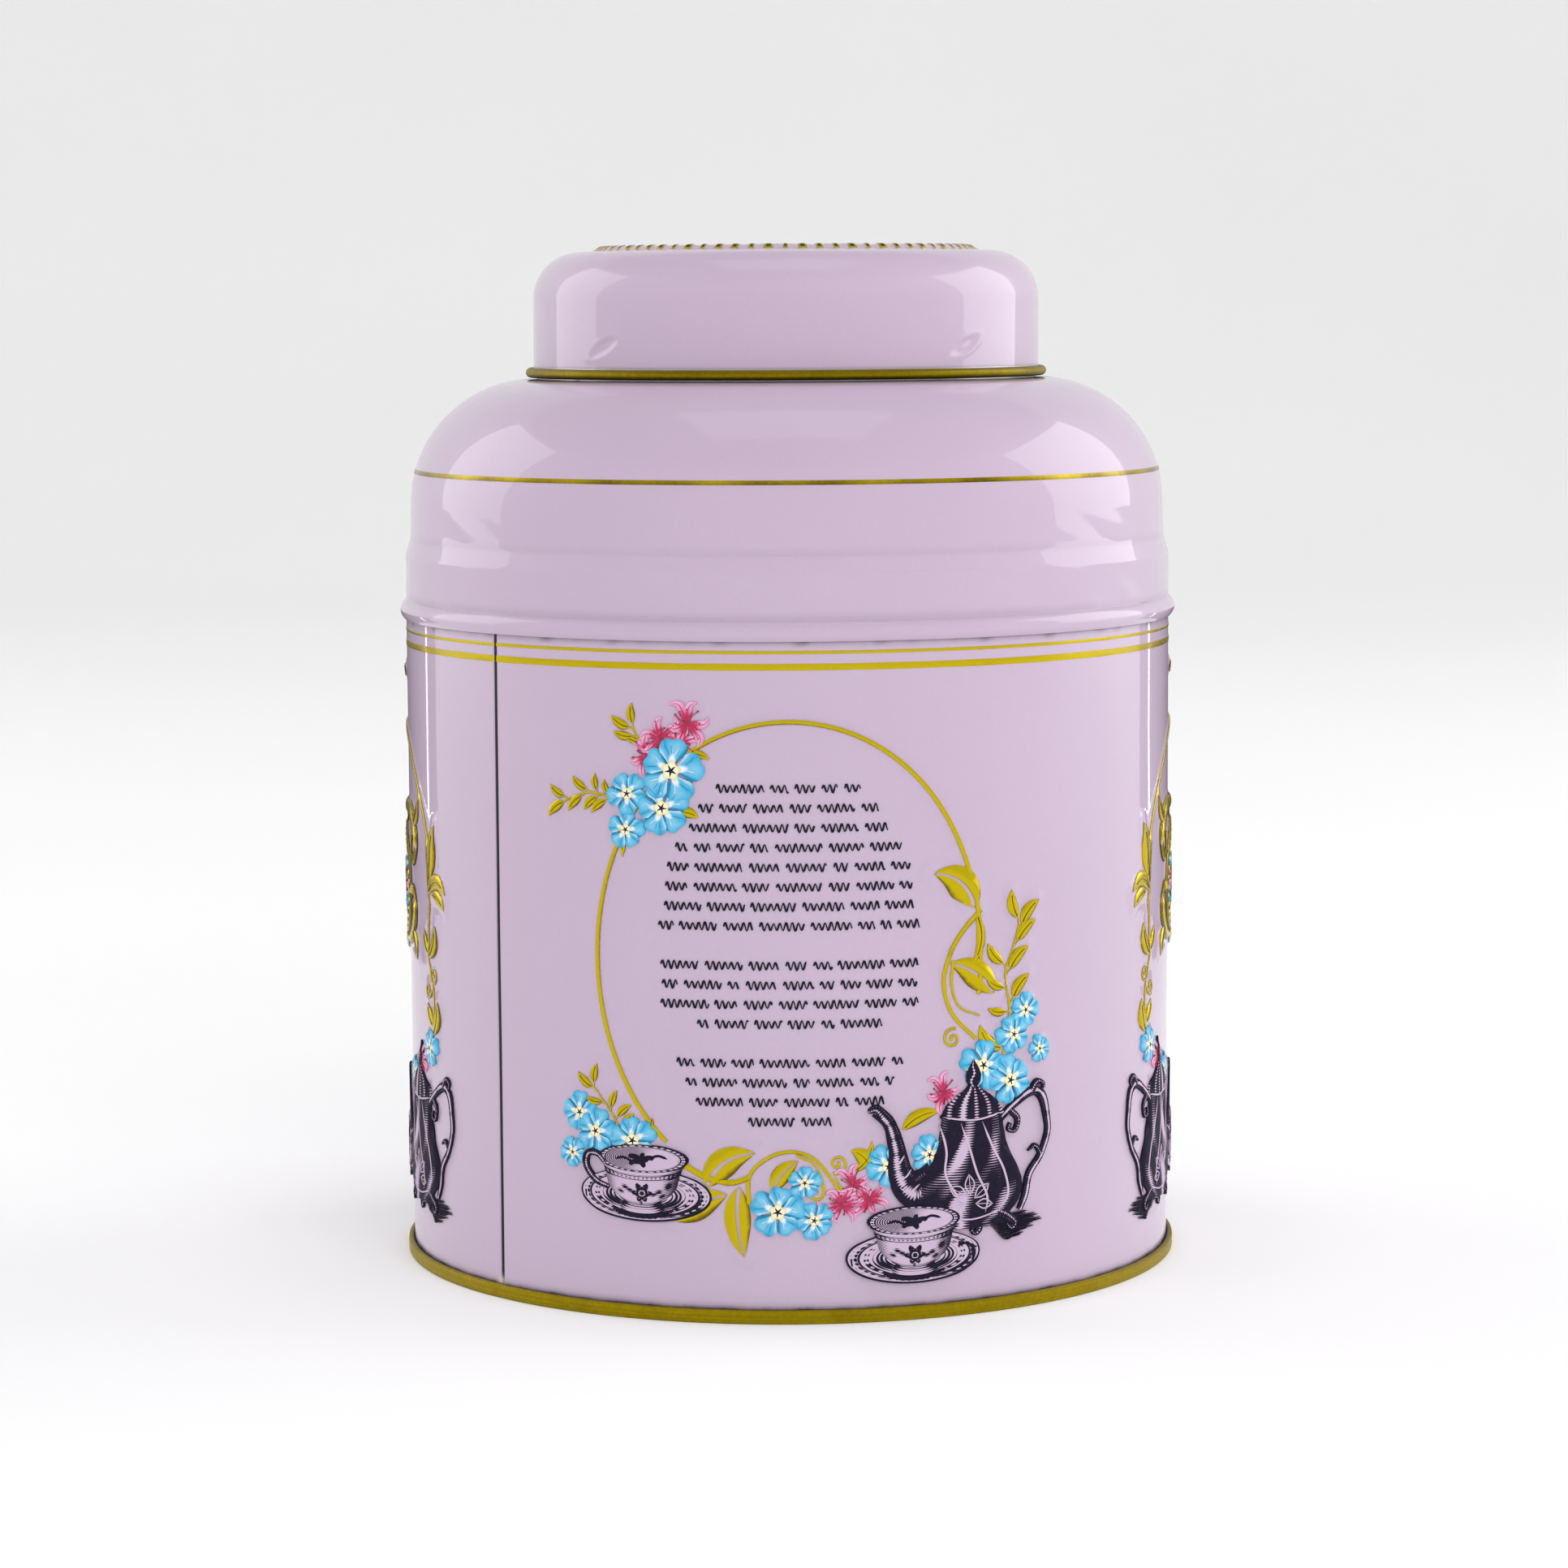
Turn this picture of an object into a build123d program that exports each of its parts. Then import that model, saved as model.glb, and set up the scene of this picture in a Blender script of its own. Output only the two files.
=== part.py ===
from build123d import *
import math
import os

# Round tinplate tea caddy: a rolled body wall, a seamed base, a domed shoulder, a neck ring and a slip-on
# lid. Millimetres, +Z up, origin at the centre of the circle the tin stands on. The front faces -Y.

# Driving dimensions
sheet = 0.30              # tinplate thickness, the same for every piece
air = 0.05                # air between two sheets that are seamed or slipped together
body_radius = 61.0        # outside of the rolled wall
shoulder_foot = 101.9     # height of the shoulder's lower edge on the wall
dome_start = 120.0        # height where the shoulder's side turns into the dome
dome_radius = 19.7        # the dome is a quarter-round in section
lid_height = 20.7         # hem to crown
lid_radius = 40.2         # outside of the lid's side wall

# Base plate and its seam
rim_radius = body_radius + 3 * sheet + 0.03   # the rolled seam lays three more sheets round the wall
rim_height = 2.1
rim_round = 0.25          # worn corner of the rim
panel_height = 1.6        # the base panel is countersunk this far above the floor
panel_radius = 58.9
rib_radius = 46.0         # stiffening step pressed into the panel
rib_rise = 0.6
rib_width = 1.2

# Body wall
wall_inset = 0.42         # how far the wall necks in under the shoulder
neck_in_start = 102.6
neck_in_end = 104.7
wall_top = 111.8
flange_floor = sheet + 2 * air   # underside of the wall's outward flange, inside the base seam
seam_angle = -46.4        # side seam, from the front, negative to the left
seam_groove_width = 0.3
seam_groove_depth = 0.12
lap_width = 4.0           # inner end of the rolled strip, behind the outer end
lap_bottom = 3.2          # the lap is notched away where the strip is folded into the base
lap_top = 100.8

# Shoulder
bead_reach = 61.9         # outermost radius of the bead along its lower edge
bead_radius = 1.9         # outside of the bead, in section
bead_height = 103.4
bead_start_angle = -45
bead_end_angle = 60
skirt_radius = 60.95
step_bottom = 112.1
step_top = 114.7
step_radius = 60.15
dome_side_radius = 60.0

# Neck ring
neck_radius = 39.62
neck_top = 152.4
neck_roll = 0.9           # inward roll of the mouth's edge
neck_flange_radius = 42.3

# Lid
lid_gap = 0.2             # air between the hem and the dome
hem_radius = 0.79         # outside of the rolled hem, in section
hem_end_angle = 112
corner_radius = 7.5
crown_rise = 0.5
groove_radius = 31.7      # shallow ring pressed round the crown
groove_width = 1.6
groove_depth = 0.25
dimple_count = 4          # pressed dimples that grip the neck ring
dimple_angle = 43.0       # first dimple, from the front to the right
dimple_height = 144.9
dimple_length = 4.6
dimple_width = 2.2
dimple_depth = 0.22
dimple_tilt = 32.0

dome_centre = (dome_side_radius - dome_radius, dome_start)
dome_top = dome_start + dome_radius
hem_bottom = dome_top + lid_gap
lid_top = hem_bottom + lid_height


def ring_point(radius, degrees_from_front):
    """A point on a level circle, turned from the front towards the right."""
    angle = math.radians(degrees_from_front)
    return (radius * math.sin(angle), -radius * math.cos(angle))


def on_arc(centre, radius, degrees):
    """A point on a circle drawn in the section plane."""
    angle = math.radians(degrees)
    return (centre[0] + radius * math.cos(angle), centre[1] + radius * math.sin(angle))


def facing(radius, height, degrees_from_front, tilt=0.0):
    """A plane that touches the tin's side and looks straight out, turned by tilt from level."""
    x, y = ring_point(radius, degrees_from_front)
    outward = Vector(x, y, 0).normalized()
    level = Vector(-outward.Y, outward.X, 0)
    upward = Vector(0, 0, 1)
    side = level * math.cos(math.radians(tilt)) + upward * math.sin(math.radians(tilt))
    return Plane(origin=(x, y, height), x_dir=side, z_dir=outward)


# Body wall: one rolled strip. It necks in under the shoulder and flares out into the base seam.
wall_inner = body_radius - sheet
wall_neck = body_radius - wall_inset
flange_reach = rim_radius - sheet - air
lap_half_angle = math.degrees(lap_width / 2 / wall_inner)
lap_angles = (seam_angle - 2 * lap_half_angle, seam_angle - lap_half_angle, seam_angle)
with BuildPart() as body_wall:
    with BuildSketch(Plane.XZ):
        with BuildLine():
            Polyline(
                (wall_inner, flange_floor),
                (flange_reach, flange_floor),
                (flange_reach, flange_floor + sheet),
                (body_radius, flange_floor + sheet),
                (body_radius, neck_in_start),
                (wall_neck, neck_in_end),
                (wall_neck, wall_top),
                (wall_neck - sheet, wall_top),
                (wall_neck - sheet, neck_in_end),
                (wall_inner, neck_in_start),
                close=True,
            )
        make_face()
    revolve(axis=Axis.Z)
    with BuildSketch(Plane.XY.offset(lap_bottom)):
        with BuildLine():
            outer = [ring_point(wall_inner, angle) for angle in lap_angles]
            inner = [ring_point(wall_inner - sheet, angle) for angle in lap_angles]
            ThreePointArc(*outer)
            Line(outer[2], inner[2])
            ThreePointArc(*inner)
            Line(inner[0], outer[0])
        make_face()
    extrude(amount=lap_top - lap_bottom)
    with BuildSketch(facing(body_radius, (rim_height + shoulder_foot) / 2, seam_angle)):
        Rectangle(seam_groove_width, shoulder_foot - rim_height)
    extrude(amount=-seam_groove_depth, mode=Mode.SUBTRACT)
body_wall.part.label = "body_wall"

# Base plate: a countersunk panel whose edge is rolled round the wall's flange to make the foot rim.
chuck_radius = wall_inner - air
hook_radius = body_radius + air
hook_floor = flange_floor + sheet + air
with BuildPart() as base_plate:
    with BuildSketch(Plane.XZ):
        with BuildLine():
            Polyline(
                (0, panel_height + rib_rise),
                (rib_radius, panel_height + rib_rise),
                (rib_radius + rib_width, panel_height),
                (panel_radius, panel_height),
                (chuck_radius - sheet, sheet),
                (chuck_radius - sheet, 0),
                (rim_radius - rim_round, 0),
                (rim_radius, rim_round),
                (rim_radius, rim_height - rim_round),
                (rim_radius - rim_round, rim_height),
                (hook_radius, rim_height),
                (hook_radius, hook_floor),
                (hook_radius + sheet, hook_floor),
                (hook_radius + sheet, rim_height - sheet),
                (rim_radius - sheet, rim_height - sheet),
                (rim_radius - sheet, sheet),
                (chuck_radius, sheet),
                (chuck_radius, panel_height),
                (panel_radius, panel_height + sheet),
                (rib_radius + rib_width, panel_height + sheet),
                (rib_radius, panel_height + rib_rise + sheet),
                (0, panel_height + rib_rise + sheet),
                close=True,
            )
        make_face()
    revolve(axis=Axis.Z)
base_plate.part.label = "base_plate"

# Shoulder: one drawn piece, with a bead that slips over the wall, a skirt, a step and the dome.
bead_centre = (bead_reach - bead_radius, bead_height)
bead_top = on_arc(bead_centre, bead_radius, bead_end_angle)[1]
mouth_radius = neck_radius + air


def shoulder_face(depth):
    """One face of the shoulder's sheet, so far inside its outer face."""
    CenterArc(bead_centre, bead_radius - depth, bead_start_angle, bead_end_angle - bead_start_angle)
    Polyline(
        on_arc(bead_centre, bead_radius - depth, bead_end_angle),
        (skirt_radius - depth, bead_top + sheet),
        (skirt_radius - depth, step_bottom),
        (step_radius - depth, step_top),
        (dome_side_radius - depth, dome_start),
    )
    CenterArc(dome_centre, dome_radius - depth, 0, 90)
    Line((dome_centre[0], dome_top - depth), (mouth_radius, dome_top - depth))


with BuildPart() as shoulder:
    with BuildSketch(Plane.XZ):
        with BuildLine():
            shoulder_face(0)
            shoulder_face(sheet)
            Line((mouth_radius, dome_top), (mouth_radius, dome_top - sheet))
            Line(
                on_arc(bead_centre, bead_radius, bead_start_angle),
                on_arc(bead_centre, bead_radius - sheet, bead_start_angle),
            )
        make_face()
    revolve(axis=Axis.Z)
shoulder.part.label = "shoulder"

# Neck ring: stands in the dome's opening, flanged out beneath it, with its top edge rolled inwards.
flange_rise = math.sqrt((dome_radius - sheet) ** 2 - (neck_flange_radius - dome_centre[0]) ** 2)
flange_top = dome_start + flange_rise - air
roll_centre = (neck_radius - neck_roll, neck_top - neck_roll)
with BuildPart() as neck_ring:
    with BuildSketch(Plane.XZ):
        with BuildLine():
            with BuildLine(mode=Mode.PRIVATE) as neck_line:
                Line((neck_flange_radius, flange_top), (neck_radius, flange_top))
                Line((neck_radius, flange_top), (neck_radius, roll_centre[1]))
                CenterArc(roll_centre, neck_roll, 0, 180)
            offset(neck_line.line, amount=sheet, side=Side.LEFT)
        make_face()
    revolve(axis=Axis.Z)
neck_ring.part.label = "neck_ring"

# Lid: one drawn cap with a rolled hem. Both faces of the sheet follow the same line, hem first.
inner_radius = lid_radius - sheet
corner_centre = (lid_radius - corner_radius, lid_top - crown_rise - corner_radius)
hem_centre = (inner_radius + hem_radius, hem_bottom + hem_radius)
crown_start = groove_radius - groove_width
crown_radius = (crown_start**2 + crown_rise**2) / (2 * crown_rise)
crown_angle = math.degrees(math.asin(crown_start / crown_radius))


def lid_face(above):
    """One face of the lid's sheet, so far above its lower face."""
    top = corner_centre[1] + corner_radius - sheet + above
    CenterArc(hem_centre, hem_radius - above, hem_end_angle, -180 - hem_end_angle)
    Line((inner_radius + above, hem_centre[1]), (inner_radius + above, corner_centre[1]))
    CenterArc(corner_centre, corner_radius - sheet + above, 0, 90)
    Spline(
        (corner_centre[0], top),
        (groove_radius, top - groove_depth),
        (crown_start, top),
        tangents=((-1, 0), (-1, 0)),
    )
    CenterArc((0, top + crown_rise - crown_radius), crown_radius, 90 - crown_angle, crown_angle)


with BuildPart() as lid:
    with BuildSketch(Plane.XZ):
        with BuildLine():
            lid_face(0)
            lid_face(sheet)
            Line(
                on_arc(hem_centre, hem_radius, hem_end_angle),
                on_arc(hem_centre, hem_radius - sheet, hem_end_angle),
            )
            Line((0, lid_top - sheet), (0, lid_top))
        make_face()
    revolve(axis=Axis.Z)
    for number in range(dimple_count):
        turn = dimple_angle + number * 360 / dimple_count
        wall_point = facing(lid_radius, dimple_height, turn, dimple_tilt)
        with BuildSketch(wall_point.offset(-sheet / 2)):
            SlotOverall(dimple_length, dimple_width)
        extrude(amount=-dimple_depth - sheet / 2)
        with BuildSketch(wall_point.offset(sheet)):
            SlotOverall(dimple_length - 2 * sheet, dimple_width - 2 * sheet)
        extrude(amount=-dimple_depth - sheet, mode=Mode.SUBTRACT)
lid.part.label = "lid"

os.makedirs("parts", exist_ok=True)
for piece in (body_wall, base_plate, shoulder, neck_ring, lid):
    export_step(piece.part, f"parts/{piece.part.label}.step")
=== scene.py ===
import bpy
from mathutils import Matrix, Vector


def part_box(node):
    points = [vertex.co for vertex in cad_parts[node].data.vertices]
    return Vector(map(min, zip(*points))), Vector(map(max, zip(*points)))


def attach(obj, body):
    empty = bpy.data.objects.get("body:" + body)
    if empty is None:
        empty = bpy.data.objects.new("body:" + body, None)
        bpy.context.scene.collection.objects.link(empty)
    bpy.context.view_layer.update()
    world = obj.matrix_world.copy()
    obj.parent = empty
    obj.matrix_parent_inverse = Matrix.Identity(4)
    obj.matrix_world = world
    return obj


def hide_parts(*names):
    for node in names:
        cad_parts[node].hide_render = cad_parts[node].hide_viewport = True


bl_info = {
    "name": "Round Tea Caddy",
    "version": (1, 0, 0),
    "blender": (4, 5, 0),
    "location": "3D View > Sidebar > Tea Caddy",
    "description": "Dresses the round tea caddy's frame in lacquered tinplate, printed and embossed flowers",
    "category": "Object",
}

import math

import bmesh
import bpy
import numpy as np
from bpy.props import FloatProperty, FloatVectorProperty, PointerProperty
from mathutils import Vector

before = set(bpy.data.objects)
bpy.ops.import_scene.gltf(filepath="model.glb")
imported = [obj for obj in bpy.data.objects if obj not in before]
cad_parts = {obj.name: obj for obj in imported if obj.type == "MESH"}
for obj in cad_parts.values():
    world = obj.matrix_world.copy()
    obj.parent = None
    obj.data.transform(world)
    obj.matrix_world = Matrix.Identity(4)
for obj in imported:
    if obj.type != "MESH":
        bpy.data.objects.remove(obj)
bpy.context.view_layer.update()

# Drawings and profiles are in millimetres. Angles on the tin are degrees from the front, positive to the
# right as the front is seen. A drawing's own x runs along the wall and its y runs up.
MM = 0.001
SHEET = 0.30
SEAM_LAYERS = 3            # sheets that the rolled foot seam lays round the wall
SEAM_AIR = 0.03
RIM_HEIGHT = 2.1
SHOULDER_FOOT = 101.9      # the shoulder's lower edge on the wall
SEAM_ANGLE = -46.4         # side seam of the body wall
SEAM_STEP = 0.27           # spacing of the wall's columns beside the side seam, where the gold lines stop
SEAM_LAP = 0.09            # how far the lapped sheet stands out on the seam's right
LAP_REACH, LAP_FADE = 14, 12      # the lap ends this far from the seam, and slopes over this width
WALL_LOW = 0.75            # the wall's lower edge, inside the rolled foot rim
WALL_INSET = 0.09          # how far the wall's skin is set in, so that its waves stay inside the CAD
SHOULDER_SEED = 2.1        # where the shoulder's waves start
LID_RADIUS, LID_CORNER = 40.2, 7.5
CROWN_EDGE, CROWN_RISE = 30.1, 0.95
RING_GROOVE = 32.0         # radius of the shallow groove round the crown
GRIP_DIMPLES = (43.0, 133.0, 223.0, 316.0)      # angles of the dimples that grip the neck
DIMPLE_HEIGHT = 144.9
PANEL_HEIGHT = 54.7        # middle of each printed panel above the floor
SINK = 0.06                # how far the edge of a printed patch is folded down into the sheet
SOLID, PAPER = -0.4, 1.6   # tints of the engraving's solid black and of the lacquer left clear in it
LAYER = 0.015              # each printed layer stands this much above the one under it
CAMERA_ASIDE = -0.26       # how far the camera stands to the right of the axis


def box_mm(node):
    """The lowest and highest corner of a CAD node in millimetres."""
    low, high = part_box(node)
    return low / MM, high / MM


rim_radius = box_mm("base_plate")[1].x
wall_radius = rim_radius - SEAM_LAYERS * SHEET - SEAM_AIR
wall_top = box_mm("body_wall")[1].z
shoulder_high = box_mm("shoulder")[1]
bead_reach, dome_top = shoulder_high.x, shoulder_high.z
neck_low, neck_high = box_mm("neck_ring")
lid_low, lid_high = box_mm("lid")
lid_shelf = lid_high.z - CROWN_RISE       # height of the flat ring round the raised crown


def srgb(red, green, blue):
    """A colour given as 0 to 255 values, turned into the linear values that Blender works in."""
    parts = np.array([red, green, blue]) / 255
    linear = np.where(parts <= 0.04045, parts / 12.92, ((parts + 0.055) / 1.055) ** 2.4)
    return tuple(float(v) for v in linear)


# ---------------------------------------------------------------- settings


def colour_setting(name, description, red, green, blue):
    return FloatVectorProperty(
        name=name, description=description, subtype="COLOR", size=3, min=0, max=1,
        default=srgb(red, green, blue))


def length_setting(name, description, default, least, most):
    """A length in millimetres, kept in metres."""
    return FloatProperty(
        name=name, description=description, unit="LENGTH",
        min=least * MM, max=most * MM, default=default * MM)


class CaddyColours(bpy.types.PropertyGroup):
    """The lacquers, inks and bare metal of the tin."""

    lilac: colour_setting("Lilac lacquer", "Colour of the body, shoulder and lid", 199, 178, 201)
    gold: colour_setting("Gold lacquer", "Colour of the foot rim, the hem and the printed lines", 196, 174, 0)
    olive: colour_setting("Olive shadow", "Dark side of the gold leaves and lines", 112, 92, 0)
    blue: colour_setting("Petal blue", "Middle colour of the blue flowers", 66, 182, 224)
    deep_blue: colour_setting("Deep blue", "Shaded parts of the blue petals", 0, 132, 178)
    pink: colour_setting("Petal pink", "Tips of the pink star flowers", 226, 158, 198)
    crimson: colour_setting("Crimson", "Middles and stamens of the pink star flowers", 196, 18, 84)
    cream: colour_setting("Cream", "Eyes of the blue flowers", 246, 238, 188)
    black: colour_setting("Engraving black", "Ink of the teapots, cups and rules", 26, 22, 38)
    tin: colour_setting("Bare tin", "Inside of the tin and the neck ring", 206, 206, 210)


class CaddySizes(bpy.types.PropertyGroup):
    """How deep the sheet is worked and how wide the printed lines are."""

    waviness: length_setting("Sheet waviness", "How far the sheet strays from a true round", 0.028, 0, 0.2)
    emboss: length_setting("Embossing", "Height of the flowers pressed out of the wall", 0.34, 0, 0.6)
    oval_width: length_setting("Oval line width", "Width of the gold oval on the panels", 0.66, 0.3, 2)
    thick_line: length_setting("Thick gold line", "Width of the lower gold line round the wall", 1.0, 0.3, 3)
    thin_line: length_setting("Thin gold line", "Width of the upper gold line round the wall", 0.5, 0.2, 2)
    shoulder_line: length_setting("Shoulder gold line", "Width of the gold line round the dome", 0.7, 0.2, 2)


class CaddyStudio(bpy.types.PropertyGroup):
    """Where the camera stands and how strong each light is."""

    distance: length_setting("Camera distance", "From the tin's axis to the camera", 715, 200, 3000)
    height: length_setting("Camera height", "Of the lens above the floor", 152.1, 0, 2000)
    pitch: FloatProperty(
        name="Camera pitch", description="How far the camera looks down",
        subtype="ANGLE", min=0, max=1.5, default=math.radians(6.2))
    roll: FloatProperty(
        name="Camera roll", description="How far the camera leans to one side",
        subtype="ANGLE", min=-0.2, max=0.2, default=math.radians(0.31))
    lens: FloatProperty(
        name="Lens", description="Focal length on a 36 mm sensor, in millimetres",
        min=20, max=200, default=102.5)
    key: FloatProperty(
        name="Soft boxes", description="Power that every soft box takes a share of, in watts",
        min=0, max=200, default=4.2)
    sky: FloatProperty(
        name="Room light", description="Strength of the pale surroundings",
        min=0, max=4, default=0.52)


def colours():
    return bpy.context.scene.caddy_colours


def sizes():
    return bpy.context.scene.caddy_sizes


def studio():
    return bpy.context.scene.caddy_studio


# ---------------------------------------------------------------- finishes


class Wire:
    """A node's output. Arithmetic on it adds Math nodes."""

    def __init__(self, finish, socket):
        self.finish = finish
        self.socket = socket

    def maths(self, operation, *values, clamp=False):
        settings = {"operation": operation, "use_clamp": clamp}
        return self.finish.node("ShaderNodeMath", settings, dict(enumerate(values)))

    def __add__(self, other):
        return self.maths("ADD", self, other)

    def __sub__(self, other):
        return self.maths("SUBTRACT", self, other)

    def __rsub__(self, other):
        return self.maths("SUBTRACT", other, self)

    def __mul__(self, other):
        return self.maths("MULTIPLY", self, other)

    __radd__ = __add__
    __rmul__ = __mul__

    def fraction(self):
        return self.maths("FRACT", self)

    def size(self):
        return self.maths("ABSOLUTE", self)

    def above(self, edge, blur):
        """0 below edge, 1 above it, with a ramp blur wide across it."""
        return self.maths("MULTIPLY_ADD", self, 1 / blur, 0.5 - edge / blur, clamp=True)


class Finish:
    """A material in the making. One method adds any node."""

    def __init__(self, name):
        self.material = bpy.data.materials.new(f"{name}_finish")
        self.material.use_nodes = True
        self.tree = self.material.node_tree
        self.tree.nodes.clear()

    def node(self, kind, settings=None, values=None, output=0):
        made = self.tree.nodes.new(kind)
        for name, value in (settings or {}).items():
            if name == "stops":
                self.set_stops(made.color_ramp, value)
            else:
                setattr(made, name, value)
        for name, value in (values or {}).items():
            if isinstance(value, Wire):
                self.tree.links.new(value.socket, made.inputs[name])
            else:
                made.inputs[name].default_value = value
        return Wire(self, made.outputs[output]) if made.outputs else None

    @staticmethod
    def set_stops(ramp, stops):
        while len(ramp.elements) < len(stops):
            ramp.elements.new(0.5)
        for element, (position, colour) in zip(ramp.elements, stops):
            element.position = position
            element.color = (*colour, 1)

    def place(self, stretch=(1, 1, 1)):
        """The point on the piece, in metres, with each axis multiplied by stretch."""
        point = self.node("ShaderNodeTexCoord", output="Object")
        if stretch == (1, 1, 1):
            return point
        return self.node("ShaderNodeVectorMath", {"operation": "MULTIPLY"}, {0: point, 1: stretch})

    def noise(self, scale, detail=3.0, stretch=(1, 1, 1), distortion=0.0):
        values = {"Vector": self.place(stretch), "Scale": scale, "Detail": detail, "Distortion": distortion}
        return self.node("ShaderNodeTexNoise", None, values)

    def marked(self, name):
        """A value that the mesh carries at each point."""
        return self.node("ShaderNodeAttribute", {"attribute_name": name}, output="Fac")

    def mix(self, mask, first, second):
        """The first colour where mask is 0 and the second where it is 1."""
        ends = [v if isinstance(v, Wire) else (*tuple(v)[:3], 1) for v in (first, second)]
        values = {0: mask, 6: ends[0], 7: ends[1]}
        return self.node("ShaderNodeMix", {"data_type": "RGBA"}, values, output=2)

    def ramp(self, value, stops):
        return self.node("ShaderNodeValToRGB", {"stops": stops}, {0: value}, output="Color")

    def bump(self, height, distance, strength=1.0, normal=None):
        values = {"Height": height, "Distance": distance, "Strength": strength}
        if normal is not None:
            values["Normal"] = normal
        return self.node("ShaderNodeBump", None, values, output="Normal")

    def specks(self, scale, size, share):
        """Small round specks, one in each share of the cells of a lattice."""
        values = {"Vector": self.place(), "Scale": scale}
        near = self.node("ShaderNodeTexVoronoi", None, values, output="Distance")
        cell = self.node("ShaderNodeTexVoronoi", None, values, output="Color")
        chance = self.node("ShaderNodeSeparateColor", None, {0: cell}, output=0)
        return (1 - near.above(size * scale, size * scale * 0.5)) * chance.above(1 - share, 0.02)

    def finish(self, **sockets):
        values = {name.replace("_", " "): value for name, value in sockets.items()}
        values["IOR"] = values.pop("ior", 1.5)
        shader = self.node("ShaderNodeBsdfPrincipled", None, values)
        self.node("ShaderNodeOutputMaterial", None, {"Surface": shader})
        return self.material


def tone(colour, factor):
    """A colour made darker or lighter."""
    return tuple(min(1.0, v * factor) for v in tuple(colour)[:3])


def blend_colours(first, second, share):
    return tuple(a * (1 - share) + b * share for a, b in zip(tuple(first)[:3], tuple(second)[:3]))


def lilac_lacquer():
    """Lilac print under clear varnish: faint mottling, dust specks, orange peel, a dark seam, and painted
    shade under the bead, under the lid's hem and in crease lines.
    """
    made = Finish("lilac_lacquer")
    lilac = colours().lilac
    cloud = made.noise(28, 2)
    grain = made.noise(2600, 2)
    base = made.mix(cloud.above(0.5, 0.6), tone(lilac, 0.972), tone(lilac, 1.02))
    base = made.mix(grain.above(0.56, 0.3) * 0.22, base, tone(lilac, 0.9))
    dark_dust = made.specks(95, 0.16 * MM, 0.3)
    base = made.mix(dark_dust * 0.55, base, tone(lilac, 0.45))
    pale_dust = made.specks(70, 0.13 * MM, 0.25)
    base = made.mix(pale_dust * 0.8, base, (0.92, 0.88, 0.93))
    # The darkening mark read here takes the lilac towards near-black: for the dark seam and the darkening
    # along the foot rim, and as painted shade under the bead, under the lid's hem, in crease lines and in the
    # lid's groove.
    grime = made.marked("grime")
    blotch = grime * (0.72 + made.noise(900, 3) * 0.56)
    base = made.mix(blotch.above(0.5, 1.0), base, srgb(22, 8, 30))
    bare = made.marked("bare")
    base = made.mix(bare, base, srgb(216, 202, 196))
    rough = 0.36 + made.noise(60, 4, (1, 1, 0.2)).above(0.55, 0.5) * 0.05 + grime * 0.25
    peel = made.bump(made.noise(700, 2), 0.01 * MM, 0.5)
    return made.finish(
        Base_Color=base, Roughness=rough, Metallic=bare * 0.8, Normal=peel,
        Coat_Weight=0.8, Coat_Roughness=0.035, Specular_IOR_Level=0.2)


def gold_lacquer():
    """Gold lacquer on tin, drawn out in fine rings where the sheet was rolled."""
    made = Finish("gold_lacquer")
    gold, olive = colours().gold, colours().olive
    rings = made.noise(260, 3, (0.04, 0.04, 9))
    stain = made.noise(120, 3)
    grain = made.noise(1700, 2)
    base = made.mix(rings.above(0.5, 0.42), blend_colours(gold, olive, 0.75), blend_colours(gold, olive, 0.3))
    base = made.mix(grain.above(0.5, 0.4) * 0.3, base, tone(olive, 0.8))
    base = made.mix(stain.above(0.62, 0.2) * 0.3, base, tone(olive, 0.85))
    # The darkening mark turns the gold dark brown: along the rim's top by the wall, a little over the whole
    # hem, and as painted shade in the hem's crease, under the hem and at the rim's bottom near the floor.
    grime = made.marked("grime")
    base = made.mix(grime.above(0.5, 1.0), base, srgb(40, 26, 8))
    bare = made.specks(170, 0.22 * MM, 0.22)
    base = made.mix(bare * 0.6, base, srgb(224, 214, 150))
    rough = 0.36 + rings * 0.16 + grain * 0.08
    return made.finish(
        Base_Color=base, Roughness=rough, Metallic=0.78,
        Normal=made.bump(rings + grain * 0.5, 0.08 * MM, 0.7), Specular_IOR_Level=0.25)


def bare_tin():
    """Unprinted tinplate: bright metal with rolling lines, faint crystals and scratches."""
    made = Finish("bare_tin")
    tin = colours().tin
    drawn = made.noise(300, 4, (0.05, 0.05, 6))
    crystals = made.node(
        "ShaderNodeTexVoronoi", None, {"Vector": made.place(), "Scale": 210, "Randomness": 1.0}, "Distance")
    base = made.mix(drawn.above(0.5, 0.6), tone(tin, 0.82), tone(tin, 1.06))
    base = made.mix(crystals.above(0.45, 0.5) * 0.25, base, tone(tin, 0.7))
    scratch = made.noise(420, 2, (1, 0.06, 0.3)).above(0.68, 0.04)
    base = made.mix(scratch * 0.35, base, tone(tin, 0.55))
    # The darkening mark: a dark joint at the neck's lap seam, and painted shade low on the neck and at the
    # base's bottom edge near the floor.
    grime = made.marked("grime")
    base = made.mix(grime.above(0.5, 1.0), base, srgb(70, 62, 52))
    rough = 0.26 + drawn * 0.14 + scratch * 0.15
    return made.finish(
        Base_Color=base, Roughness=rough, Metallic=1.0, Normal=made.bump(drawn, 0.02 * MM, 0.5))


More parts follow.
